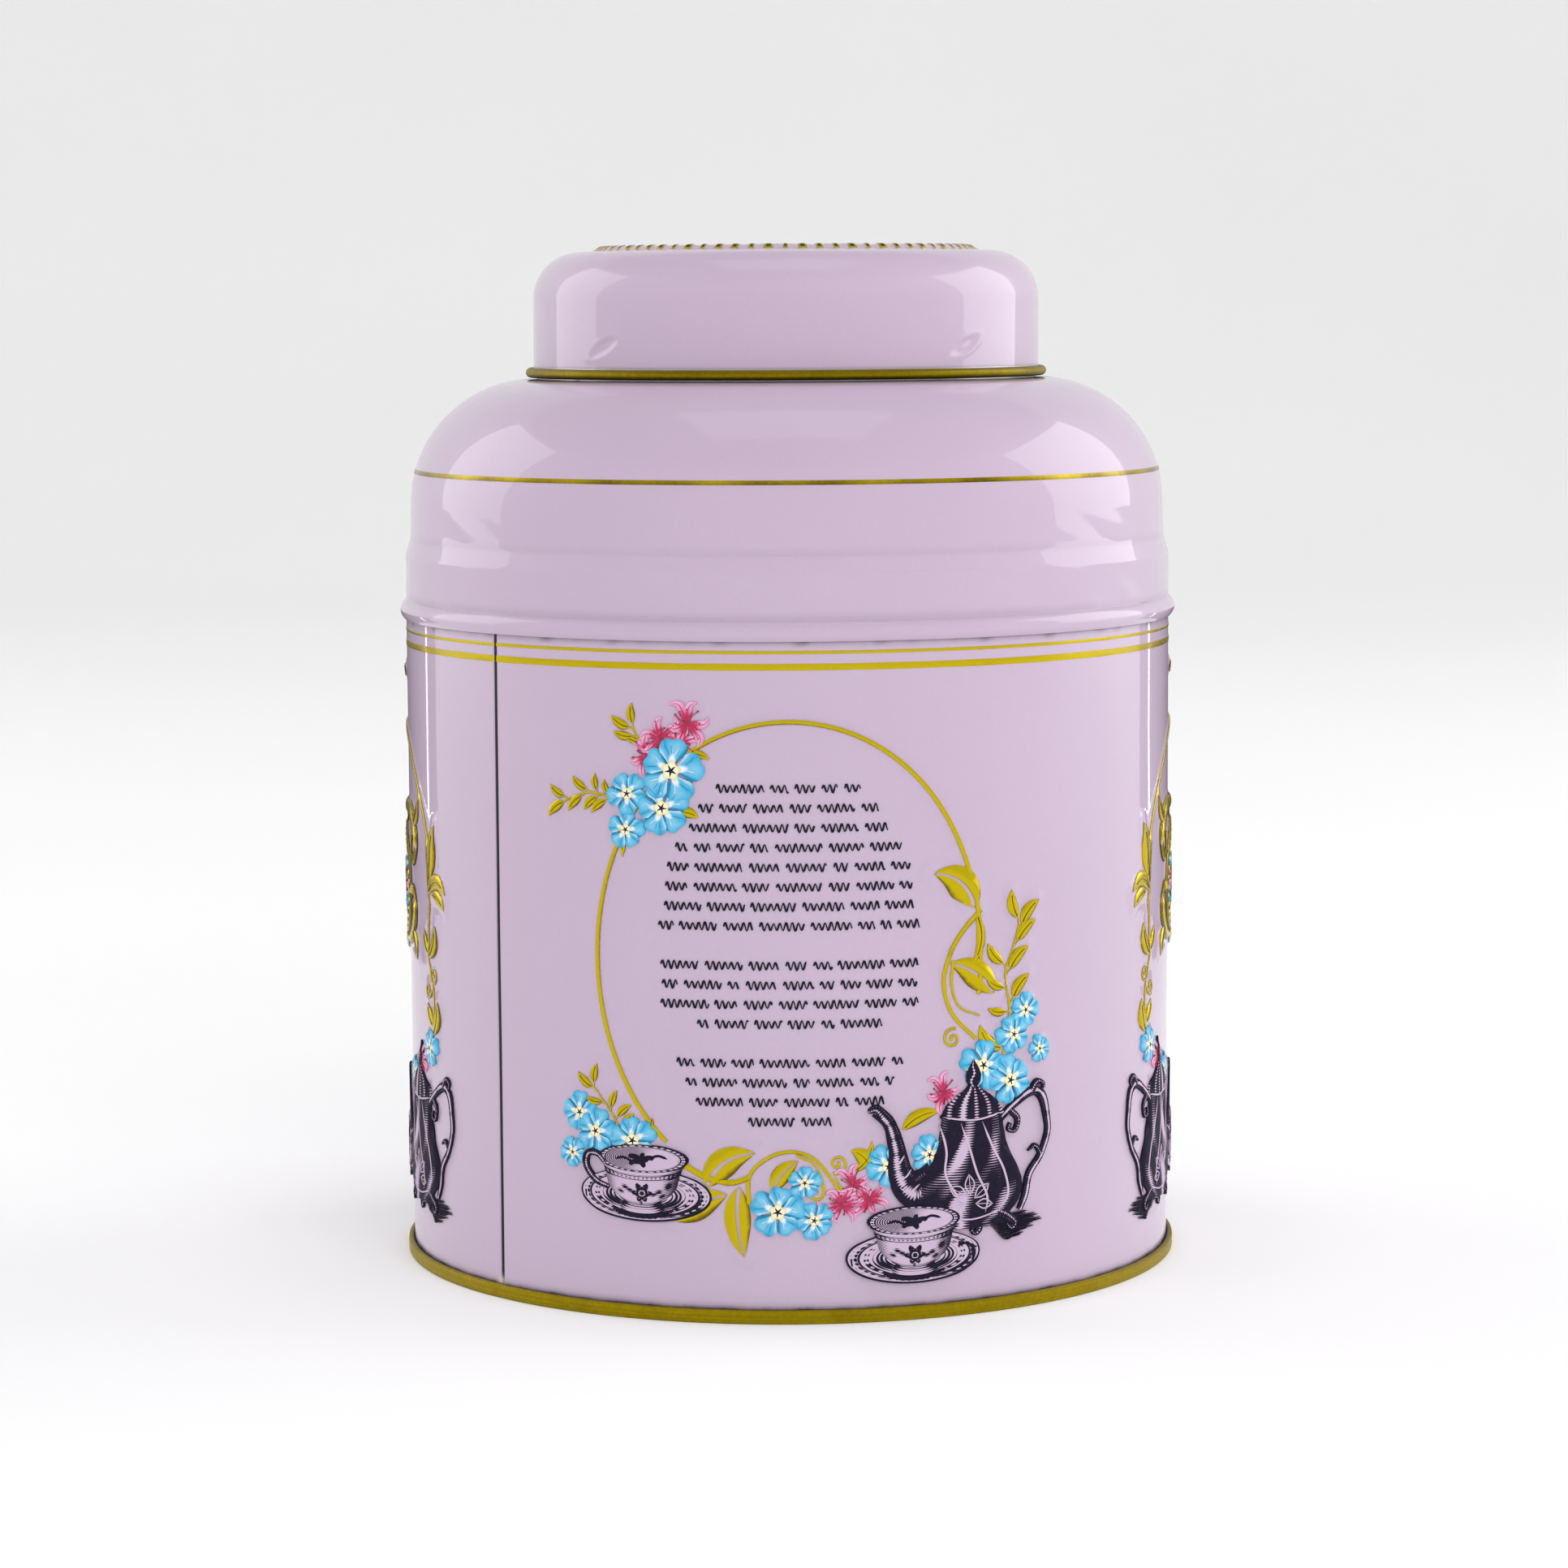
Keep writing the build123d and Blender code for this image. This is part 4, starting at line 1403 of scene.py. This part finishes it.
def build_wall():
    drawings = [make() for make in PANELS.values()]
    neck_in, neck_start, neck_end = 0.42, 102.6, 104.7
    print_low, print_high = 4.0, 97.0
    inner_radius = wall_radius - SHEET
    outside = stroke(
        straight((wall_radius - neck_in, wall_top), (wall_radius - neck_in, neck_end), 1.4),
        straight((wall_radius - neck_in, neck_end), (wall_radius, neck_start), 0.6),
        straight((wall_radius, neck_start), (wall_radius, print_high), 0.8),
        straight((wall_radius, print_high), (wall_radius, print_low), 0.62),
        straight((wall_radius, print_low), (wall_radius, WALL_LOW), 0.6))
    inside = stroke(
        straight((inner_radius, WALL_LOW), (inner_radius, neck_start), 6),
        [(inner_radius - neck_in, neck_end)],
        [(inner_radius - neck_in, wall_top)])
    outer_count = len(outside)
    groove_half, groove_depth, dark_half, dark = 0.25, 0.14, 0.29, 1.6

    def shape(radius, height, angle):
        pressed = wall_surface(drawings, angle, height) - wall_radius
        gap = from_seam(angle)
        groove = -groove_depth * (np.abs(gap) < groove_half) * (height < SHOULDER_FOOT + 1)
        lap = seam_lap(gap) * smooth(gap / 0.35 + 0.5) * (height < SHOULDER_FOOT)
        worked = pressed + groove + lap - WALL_INSET
        return radius + np.where(outer_rows(radius, outer_count), worked, 0), height

    def grime(section, angle):
        radius, height = section[:, :1], section[:, 1:]
        gap = from_seam(angle)
        seam = dark * (np.abs(gap) < dark_half) * (height > RIM_HEIGHT + 0.5)
        beside_seam = 0.3 * smooth((0.7 - np.abs(gap + 0.15)) / 0.6)
        uneven = patchy(angle, 47, 19, 1)
        # Darker just above the foot rim, unevenly round the tin.
        foot = (0.55 + 0.4 * uneven) * smooth((RIM_HEIGHT + 0.8 - height) / 0.7)
        # Painted shade: a soft dark line under the shoulder's bead, uneven round the tin.
        shade_under_bead = (0.32 + 0.6 * uneven**4) * smooth((height - SHOULDER_FOOT + 0.3) / 0.35)
        outer = radius > wall_radius - SHEET / 2 - 0.01
        return np.maximum.reduce([seam, np.maximum(beside_seam, foot), shade_under_bead]) * outer

    def bare(section, angle):
        """Tin that shows through at the foot of the seam."""
        nick = hump(from_seam(angle), -0.5, 0.9) * smooth(RIM_HEIGHT + 1.5 - section[:, 1:])
        return np.clip(nick * 1.2, 0, 1) * outer_rows(section, outer_count)

    piece = turned(
        "wall_skin", outside + inside, columns(620, SEAM_ANGLE, math.degrees(SEAM_STEP / wall_radius)),
        ["lilac_lacquer", "bare_tin"], "caddy",
        finish_of=lambda i: 0 if i < outer_count else 1, shape=shape,
        marks={"grime": grime, "bare": bare}, closed=True)
    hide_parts("body_wall")


def build_base():
    chuck = wall_radius - SHEET - 0.05            # outside of the countersink, against the wall
    sink = chuck - SHEET                          # inside of the countersink
    panel, rib, rib_rise, rib_width = 1.6, 46.0, 0.6, 1.2
    bend, edge_bend = 0.6, 0.32
    section = stroke(
        [(0, panel + rib_rise + SHEET)],
        straight((rib - rib_width, panel + rib_rise + SHEET), (rib, panel + SHEET), 0.5),
        [(sink - 1.4, panel + SHEET)],
        arc((sink - bend, panel + SHEET + bend), bend, -90, 0, 30),
        [(sink, RIM_HEIGHT + 1.0), (chuck, RIM_HEIGHT + 1.0)],
        [(chuck, WALL_LOW), (wall_radius + 0.04, WALL_LOW)],
        straight((wall_radius + 0.04, RIM_HEIGHT - 0.1), (wall_radius + 0.12, RIM_HEIGHT), 0.1),
        straight((rim_radius - 0.4, RIM_HEIGHT), (rim_radius - 0.08, RIM_HEIGHT - 0.14), 0.12),
        straight((rim_radius, RIM_HEIGHT - 0.45), (rim_radius - 0.05, 0.5), 0.3),
        arc((rim_radius - edge_bend - 0.02, edge_bend), edge_bend, 0, -90, 18),
        arc((sink + 0.5, edge_bend), edge_bend, -90, -160, 18),
        [(sink - 0.28, panel - 0.4), (sink - 0.7, panel)],
        straight((rib, panel), (rib - rib_width, panel + rib_rise), 0.5),
        [(0, panel + rib_rise)])
    rim_rows = [i for i, (reach, _) in enumerate(section) if reach > chuck + 0.2]
    ripple_size, seam_dent, rim_inset = 0.035, 0.05, 0.04

    def shape(radius, height, angle):
        at_rim = smooth((radius - chuck) / 0.8)
        ripple = np.sin(height * 11 + 0.6 * np.sin(angle * 5)) * (height > 0.5) * (height < RIM_HEIGHT)
        dent = hump(turn_between(angle, SEAM_ANGLE), 0, 0.03)
        return radius + at_rim * (ripple_size * ripple - seam_dent * dent - rim_inset), height

    def grime(section, angle):
        radius, height = section[:, :1], section[:, 1:]
        # Darker on the rim's top where it meets the wall.
        along_wall = smooth((wall_radius + 0.42 - radius) / 0.3) * (radius > wall_radius)
        # Painted shade at the bottom, next to the floor.
        under = 0.35 * smooth((0.3 - height) / 0.3)
        return np.maximum(along_wall * 1.1, under) + 0 * angle

    piece = turned(
        "foot_rim_and_base", section, columns(420), ["gold_lacquer", "bare_tin"], "caddy",
        finish_of=lambda i: 0 if i in rim_rows and i + 1 in rim_rows else 1, shape=shape,
        marks={"grime": grime})
    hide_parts("base_plate")


def shoulder_section(depth):
    """The shoulder's outside, or with depth the same path further in, from the lid's mouth to the bead."""
    mouth, dome_radius, dome_side, dome_foot = 39.67, 19.7, 60.0, 120.0
    skirt, skirt_low, bead, bead_height = 60.95, 105.4, 1.9, 103.4
    step_low, step_high, step_radius = 112.1, 114.7, 60.15
    return stroke(
        [(mouth, dome_top - depth)],
        arc((dome_side - dome_radius, dome_foot), dome_radius - depth, 90, 0, 3.2),
        straight((dome_side - depth, dome_foot), (step_radius - depth, step_high + 0.3), 1.0),
        straight((step_radius - depth + 0.02, step_high), (skirt - depth - 0.02, step_low), 0.35),
        straight((skirt - depth, step_low - 0.3), (skirt - depth, skirt_low), 1.0),
        arc((bead_reach - bead, bead_height), bead - depth, 60, -45, 10))


def shoulder_stray(angle, height):
    """How far the shoulder's skin strays from its section, set in a little to stay inside the CAD."""
    return waviness(angle, height, SHOULDER_SEED) * 1.3 - 0.03


def build_shoulder():
    outside = shoulder_section(0)
    inside = shoulder_section(SHEET)[::-1]
    outer_count = len(outside)

    def shape(radius, height, angle):
        calm = smooth((radius - 40) / 4)          # 0 at the mouth, which stays round
        side = smooth((121 - height) / 3) * smooth((height - 105) / 3)
        flutter = 0.012 * np.sin(angle * 29 + height) * side
        return radius + (shoulder_stray(angle, height) + flutter) * calm, height

    def grime(section, angle):
        radius, height = section[:, :1], section[:, 1:]
        # Painted shade under the bead, uneven round the tin.
        foot = (0.3 + 0.4 * patchy(angle, 53, 23, 2) ** 4) * smooth((SHOULDER_FOOT + 0.2 - height) / 0.25)
        # Painted shade in the step's two crease lines.
        crease_shade = 0.14 * hump(height, 105.35, 0.35) + 0.08 * hump(height, 114.8, 0.4)
        # Painted shade: the dark line under the lid's hem.
        shade_under_hem = 1.1 * smooth((lid_high.x + 1.12 - radius) / 0.7)
        return (foot + crease_shade + shade_under_hem) * outer_rows(section, outer_count)

    piece = turned(
        "domed_shoulder", outside + inside, columns(420),
        ["lilac_lacquer", "bare_tin"], "caddy",
        finish_of=lambda i: 0 if i < outer_count - 1 else 1, shape=shape,
        marks={"grime": grime}, closed=True)
    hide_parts("shoulder")


def build_neck():
    radius, roll, lap_angle, lap_width = 39.62, 0.9, 150.0, 5
    top, flange = neck_high.z, neck_low.z
    inner_radius = radius - SHEET
    outside = stroke(
        [(neck_high.x, flange + SHEET), (radius + 0.5, flange + SHEET)],
        straight((radius, flange + SHEET + 0.5), (radius, top - roll), 0.9),
        arc((radius - roll, top - roll), roll, 0, 250, 16))
    inside = stroke(
        straight((inner_radius, top - roll - 0.3), (inner_radius, flange + 0.6), 1.5),
        [(inner_radius + 0.4, flange), (neck_high.x, flange)])

    def shape(reach, height, angle):
        gap = turn_between(angle, lap_angle) * radius
        outer = (reach > radius - 0.05) * (reach < radius + 0.08) * (height < top - 1.2)
        lap = 0.06 * smooth(gap / 0.3 + 0.5) * smooth((lap_width - gap) / lap_width) * outer
        return reach + waviness(angle, height, 4.2) * 0.6 - 0.04 + lap, height

    def grime(section, angle):
        # Painted shade low on the ring, where it stands in the shoulder's mouth; the lap seam is a dark
        # joint.
        low = 0.6 * smooth(flange + 1.2 - section[:, 1:])
        seam = 0.9 * hump(turn_between(angle, lap_angle) * radius, 0, 0.25)
        return np.maximum(low, seam)

    piece = turned(
        "neck_ring_bright", outside + inside, columns(300, lap_angle, math.degrees(0.3 / radius)),
        ["bare_tin"], "caddy", shape=shape, marks={"grime": grime}, closed=True)
    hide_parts("neck_ring")


def crown_height(radius):
    """Height of the lid's top: a raised crown, then a flat ring with a shallow pressed groove."""
    swell = 0.84 + 0.16 * np.clip(1 - (radius / CROWN_EDGE) ** 2, 0, 1)
    crown = CROWN_RISE * swell * smooth((CROWN_EDGE + 0.6 - radius) / 1.6)
    return lid_shelf + crown - 0.25 * hump(radius, RING_GROOVE, 0.6)


def crown_pressing(drawing, x, y):
    """What the wreath's embossing adds to the crown, over a slight dish in its middle."""
    return drawing.relief(x, y) * 0.5 - 0.17 * smooth((30 - np.hypot(x, y)) / 2)


def dimple_depth(angle, height):
    """The pressed dimples that grip the neck: slanted almonds with a slightly raised edge."""
    dent = np.zeros(angle.shape)
    tilt = math.radians(24)
    for spot in GRIP_DIMPLES:
        x = turn_between(angle, spot) * LID_RADIUS
        y = height - DIMPLE_HEIGHT
        along = x * math.cos(tilt) + y * math.sin(tilt)
        across = y * math.cos(tilt) - x * math.sin(tilt)
        away = np.hypot(along / 3.2, across / 1.05)
        dent += -0.24 * smooth((1.08 - away) / 0.5) + 0.05 * hump(away, 1.25, 0.2)
    return dent


def build_lid():
    drawing = lid_wreath()
    hem = 0.79
    hem_centre = (lid_high.x - hem, lid_low.z + hem)
    corner = (LID_RADIUS - LID_CORNER, lid_shelf - LID_CORNER)
    dimples_low, dimples_high = DIMPLE_HEIGHT - 2.5, DIMPLE_HEIGHT + 2.5

    def top_at(reaches, depth=0.0):
        return [(reach, float(crown_height(reach)) - depth) for reach in reaches]

    outside = stroke(
        top_at(np.concatenate([np.linspace(0, 27, 28), np.linspace(27.5, 32.7, 20)])),
        arc(corner, LID_CORNER, 90, 0, 4.5),
        straight((LID_RADIUS, corner[1]), (LID_RADIUS, dimples_high), 0.8),
        straight((LID_RADIUS, dimples_high), (LID_RADIUS, dimples_low), 0.26),
        straight((LID_RADIUS, dimples_low), (LID_RADIUS, hem_centre[1] + 0.9), 0.5))
    lower = stroke(
        [(LID_RADIUS, hem_centre[1] + 0.72)],
        arc((LID_RADIUS - 0.36, hem_centre[1]), 0.42, 0, -90, 30),
        [(LID_RADIUS - SHEET, lid_low.z + 0.9)])
    inside = stroke(
        straight((LID_RADIUS - SHEET, 142), (LID_RADIUS - SHEET, corner[1]), 2.5),
        arc(corner, LID_CORNER - SHEET, 0, 90, 9),
        top_at(np.linspace(32, 0, 20), SHEET))
    section = stroke(outside, lower, inside)
    outer_count = len(outside)

    def shape(radius, height, angle):
        outer = outer_rows(radius, outer_count)
        side = (radius > 38) & (height < corner[1] + 3)
        dent = dimple_depth(angle, height) * outer - 0.02
        pressed = crown_pressing(drawing, radius * np.sin(angle), -radius * np.cos(angle))
        height = height + np.where((radius < 32) & outer, pressed, 0)
        stray = waviness(angle, height, 5.5) * smooth((radius - 36) / 3)
        return radius + np.where(side, dent, 0) + stray, height

    def grime(section, angle):
        # Painted shade just above the rolled hem and in the shallow ring groove.
        shade_above_hem = 0.4 * smooth((hem_centre[1] + 1.25 - section[:, 1:]) / 0.6)
        groove_shade = 0.14 * hump(section[:, :1], RING_GROOVE, 0.5)
        return (shade_above_hem + groove_shade) * outer_rows(section, outer_count) + 0 * angle

    piece = turned(
        "lid_shell", section, columns(480), ["lilac_lacquer", "bare_tin"], "lid",
        finish_of=lambda i: 0 if i < outer_count - 1 else 1, shape=shape, marks={"grime": grime})
    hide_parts("lid")
    build_hem(hem_centre, hem)


def build_hem(centre, roll):
    """The rolled gold hem along the lid's lower edge."""
    section = stroke(arc(centre, roll - 0.02, 128, -228, 14))[:-1]

    def shape(radius, height, angle):
        dent = 0.03 * np.sin(angle * 13 + 1) * np.sin(angle * 7)
        return radius + dent * smooth((radius - centre[0]) / roll) - 0.02, height

    def grime(section, angle):
        radius, height = section[:, :1], section[:, 1:]
        # Painted shade in the crease where the roll meets the lid and under the hem; the 0.24 floor darkens
        # the whole hem's gold a little.
        crease = smooth((centre[0] - 0.1 - radius) / 0.3) * (height > centre[1])
        under = 0.5 * smooth((centre[1] - 0.35 - height) / 0.3)
        return np.maximum.reduce([crease, under, np.full(crease.shape, 0.24)]) + 0 * angle

    turned(
        "lid_hem", section, columns(420), ["gold_lacquer"], "lid", shape=shape,
        marks={"grime": grime}, closed=True, sharp=80)


def printed_line(turns, middle, width, edge_lift, unevenness=0.0):
    """Angles, heights and lifts of a strip five points wide, with its edges folded into the sheet."""
    angle = np.radians(turns)[:, None] + np.zeros((1, 5))
    half = width / 2 * (1 + unevenness * np.sin(angle[:, :1] * 31))
    height = middle + half * np.array([[-1, -1, 0, 1, 1]]) + np.array([[0, 0.02, 0, -0.02, 0]])
    lift = np.array([[-SINK, edge_lift, 0.06, edge_lift, -SINK]])
    return angle, height, lift


def build_lines():
    """The gold lines printed round the wall and the dome."""
    gap = math.degrees(SEAM_STEP / wall_radius)
    turns = np.linspace(SEAM_ANGLE + gap, SEAM_ANGLE + 360 - gap, 421)
    for name, middle, width in (("wall_line_thick", 98.3, sizes().thick_line),
                                ("wall_line_thin", 100.45, sizes().thin_line)):
        angle, height, lift = printed_line(turns, middle, width / MM, 0.045, 0.03)
        lap = seam_lap(from_seam(angle)) * (from_seam(angle) > 0)
        lay_ring(name, wall_surface([], angle, height) + lift + lap - WALL_INSET, height, angle, "gold_ink")
    outline = sorted((height, radius) for radius, height in shoulder_section(0))
    turns = np.linspace(-180, 180, 421)
    angle, height, lift = printed_line(turns, 125.3, sizes().shoulder_line / MM, 0.05)
    radius = np.interp(height, *np.transpose(outline)) + shoulder_stray(angle, height) + lift
    lay_ring("shoulder_line_gold", radius, height, angle, "gold_ink", 0.34)


def lay_ring(name, radius, height, angle, ink, middle_tint=0.56):
    """Makes a printed line piece from a strip of points round the tin."""
    points = np.stack([radius * np.sin(angle), -radius * np.cos(angle), height], -1).reshape(-1, 3)
    across = np.linspace(-1, 1, radius.shape[1])[None]
    # The upper edge is a little lighter than the lower, painted shading; the waves along the line are uneven
    # print.
    tint = middle_tint + 0.07 * np.sin(angle * 9) * np.cos(angle * 23 + 1) + 0.1 * across
    faces = grid_faces(radius.shape)
    add_piece(name, points, faces, [ink], "caddy", marks={"tint": tint.ravel()}, sharp=60)


def build_lid_wreath():
    drawing = lid_wreath()
    for ink, print_run in drawing.inks.items():
        x, y, lift, tint, hatch = np.vstack(print_run.parts).T
        top = crown_height(np.hypot(x, y)) + crown_pressing(drawing, x, y)
        points = np.stack([x, y, top + np.maximum(lift * 0.5, -SINK)], 1)
        add_piece(
            f"lid_{PIECE_WORDS[ink]}", points, np.vstack(print_run.faces), [ink], "lid",
            marks={"tint": tint, "hatch": hatch}, sharp=60)


# ---------------------------------------------------------------- studio


def pale_floor():
    made = Finish("studio_paper")
    cloud = made.noise(3, 2)
    base = made.mix(cloud, (0.88, 0.88, 0.885), (0.92, 0.92, 0.92))
    return made.finish(
        Base_Color=base, Roughness=0.85, Specular_IOR_Level=0.1, Emission_Color=base, Emission_Strength=0.15)


def dark_card():
    made = Finish("studio_dark_card")
    base = made.mix(made.noise(3, 2), (0.05, 0.04, 0.05), (0.07, 0.06, 0.07))
    return made.finish(Base_Color=base, Roughness=0.9, Specular_IOR_Level=0.1)


def bright_card():
    made = Finish("studio_bright_card")
    base = made.mix(made.noise(60, 2), (0.8, 0.78, 0.8), (1.0, 1.0, 1.0))
    return made.finish(Base_Color=base, Roughness=0.9, Emission_Color=base, Emission_Strength=3.6)


def build_floor():
    """A pale floor that curves up into a round backdrop, in metres."""
    reach, bend, high, sides = 1.5, 1.3, 2.6, 96
    section = [(0.0, 0.0), (0.3, 0.0), (0.8, 0.0), (reach, 0.0)]
    section += [tuple(p) for p in arc((reach, bend), bend, -90, 0, 6)[1:]]
    section += [(reach + bend, high)]
    turns = np.radians(np.linspace(0, 360, sides, endpoint=False))
    radius, height = np.array(section).T[:, :, None]
    height = height + 0 * turns
    points = np.stack([radius * np.sin(turns), -radius * np.cos(turns), height], -1).reshape(-1, 3)
    index = np.arange(len(section) * sides).reshape(len(section), sides)
    faces = np.stack(
        [index[:-1], np.roll(index[:-1], -1, 1), np.roll(index[1:], -1, 1), index[1:]], -1).reshape(-1, 4)
    mesh = bpy.data.meshes.new("studio_floor")
    mesh.from_pydata(points.tolist(), [], faces.tolist())
    weld(mesh)
    mesh.shade_smooth()
    mesh.materials.append(pale_floor())
    floor = bpy.data.objects.new("studio_floor", mesh)
    bpy.context.scene.collection.objects.link(floor)


def aim(piece, target):
    """Turns a lamp's face towards a point."""
    direction = Vector(target) - piece.location
    piece.rotation_euler = direction.to_track_quat("-Z", "Y").to_euler()


def around(degrees, distance, height):
    """A place in the studio, in metres, turned from the front."""
    angle = math.radians(degrees)
    return Vector((distance * math.sin(angle), -distance * math.cos(angle), height))


def add_lamp(name, place, size, power, target=(0, 0, 0.08), mirrored=True):
    """A soft box aimed at the tin. One that isn't mirrored lights it without showing in the varnish."""
    lamp = bpy.data.lights.new(name, "AREA")
    lamp.shape = "RECTANGLE"
    lamp.size, lamp.size_y = size
    lamp.energy = power
    holder = bpy.data.objects.new(name, lamp)
    holder.location = place
    aim(holder, target)
    holder.visible_camera = False
    holder.visible_glossy = mirrored
    bpy.context.scene.collection.objects.link(holder)


def add_board(name, place, size, look):
    """A board that only shows as a shade or a light in the varnish's reflections."""
    mesh = bpy.data.meshes.new(name)
    wide, tall = size[0] / 2, size[1] / 2
    corners = [(-wide, -tall, 0), (wide, -tall, 0), (wide, tall, 0), (-wide, tall, 0)]
    mesh.from_pydata(corners, [], [(0, 1, 2, 3)])
    mesh.materials.append(look)
    board = bpy.data.objects.new(name, mesh)
    board.location = place
    aim(board, (0, 0, place[2]))
    bpy.context.scene.collection.objects.link(board)
    board.visible_camera = False
    board.visible_diffuse = False
    board.visible_shadow = False


def build_lights():
    """Soft boxes at the sides, in front and overhead, and narrow cards that edge the tin's reflections."""
    power = studio().key
    add_lamp("soft_box_right", around(106, 1.3, 0.58), (1.05, 1.05), power * 1.6)
    add_lamp("soft_box_left", around(-110, 1.3, 0.58), (0.84, 1.05), power * 0.9)
    add_lamp("soft_box_front", around(18, 1.4, 1.1), (1.2, 0.9), power * 1.75, mirrored=False)
    add_lamp("soft_box_top", Vector((0, -0.1, 1.6)), (0.9, 0.9), power * 0.4, (0, 0, 0.1))
    dark, bright = dark_card(), bright_card()
    for name, side in (("left", -1), ("right", 1)):
        add_board(f"edge_card_{name}", around(142 * side, 0.34, 0.041), (0.248, 0.08), dark)
        add_board(f"edge_strip_{name}", around(128.5 * side, 0.325, 0.054), (0.0085, 0.052), bright)
    world = bpy.data.worlds.new("pale_room")
    world.use_nodes = True
    background = world.node_tree.nodes["Background"]
    background.inputs["Color"].default_value = (1.0, 0.99, 1.0, 1)
    background.inputs["Strength"].default_value = studio().sky
    bpy.context.scene.world = world


def build_camera():
    data = bpy.data.cameras.new("camera")
    data.sensor_width = 36
    data.lens = studio().lens
    camera = bpy.data.objects.new("camera", data)
    tilt = math.radians(90) - studio().pitch
    camera.rotation_euler = (tilt, studio().roll, 0)
    camera.location = (CAMERA_ASIDE * MM, -studio().distance, studio().height)
    bpy.context.scene.collection.objects.link(camera)
    bpy.context.scene.camera = camera


# ---------------------------------------------------------------- operators


class CADDY_OT_wall(bpy.types.Operator):
    """Build the rolled body wall with its seam and embossing"""

    bl_idname = "caddy.wall"
    bl_label = "Body wall"

    def execute(self, context):
        build_wall()
        return {"FINISHED"}


class CADDY_OT_base(bpy.types.Operator):
    """Build the base and its rolled gold foot rim"""

    bl_idname = "caddy.base"
    bl_label = "Base and foot rim"

    def execute(self, context):
        build_base()
        return {"FINISHED"}


class CADDY_OT_shoulder(bpy.types.Operator):
    """Build the domed shoulder with its bead"""

    bl_idname = "caddy.shoulder"
    bl_label = "Domed shoulder"

    def execute(self, context):
        build_shoulder()
        return {"FINISHED"}


class CADDY_OT_neck(bpy.types.Operator):
    """Build the bare tin ring that the lid slides over"""

    bl_idname = "caddy.neck"
    bl_label = "Neck ring"

    def execute(self, context):
        build_neck()
        return {"FINISHED"}


class CADDY_OT_lid(bpy.types.Operator):
    """Build the lid with its dimples and rolled hem"""

    bl_idname = "caddy.lid"
    bl_label = "Lid"

    def execute(self, context):
        build_lid()
        return {"FINISHED"}


class CADDY_OT_lines(bpy.types.Operator):
    """Print the gold lines round the wall and the dome"""

    bl_idname = "caddy.lines"
    bl_label = "Gold lines"

    def execute(self, context):
        build_lines()
        return {"FINISHED"}


class CADDY_OT_panels(bpy.types.Operator):
    """Print the four panels: flowers, sprays, pots and cups"""

    bl_idname = "caddy.panels"
    bl_label = "Printed panels"

    def execute(self, context):
        for panel, make in PANELS.items():
            lay_on_wall(make(), panel)
        return {"FINISHED"}


class CADDY_OT_lid_wreath(bpy.types.Operator):
    """Print the wreath on the lid's crown"""

    bl_idname = "caddy.lid_wreath"
    bl_label = "Lid wreath"

    def execute(self, context):
        build_lid_wreath()
        return {"FINISHED"}


class CADDY_OT_stage(bpy.types.Operator):
    """Set up the pale floor, soft lights and camera"""

    bl_idname = "caddy.stage"
    bl_label = "Studio"

    def execute(self, context):
        build_floor()
        build_lights()
        build_camera()
        context.scene.view_settings.view_transform = "Standard"
        return {"FINISHED"}


class CADDY_PT_panel(bpy.types.Panel):
    """Lists the steps that dress the tin, with its colours and sizes"""

    bl_idname = "CADDY_PT_panel"
    bl_label = "Tea Caddy"
    bl_space_type = "VIEW_3D"
    bl_region_type = "UI"
    bl_category = "Tea Caddy"

    def draw(self, context):
        for operator in OPERATORS:
            self.layout.operator(operator.bl_idname)
        for group in (context.scene.caddy_colours, context.scene.caddy_sizes, context.scene.caddy_studio):
            for name in group.__annotations__:
                self.layout.prop(group, name)


OPERATORS = (
    CADDY_OT_wall,
    CADDY_OT_base,
    CADDY_OT_shoulder,
    CADDY_OT_neck,
    CADDY_OT_lid,
    CADDY_OT_lines,
    CADDY_OT_panels,
    CADDY_OT_lid_wreath,
    CADDY_OT_stage,
)
GROUPS = {"caddy_colours": CaddyColours, "caddy_sizes": CaddySizes, "caddy_studio": CaddyStudio}


def register():
    for cls in (*GROUPS.values(), *OPERATORS, CADDY_PT_panel):
        bpy.utils.register_class(cls)
    for name, group in GROUPS.items():
        setattr(bpy.types.Scene, name, PointerProperty(type=group))


def unregister():
    for name in GROUPS:
        delattr(bpy.types.Scene, name)
    for cls in reversed((*GROUPS.values(), *OPERATORS, CADDY_PT_panel)):
        bpy.utils.unregister_class(cls)


def main():
    register()
    for operator in OPERATORS:
        area, action = operator.bl_idname.split(".")
        getattr(getattr(bpy.ops, area), action)()


if __name__ == "__main__":
    main()
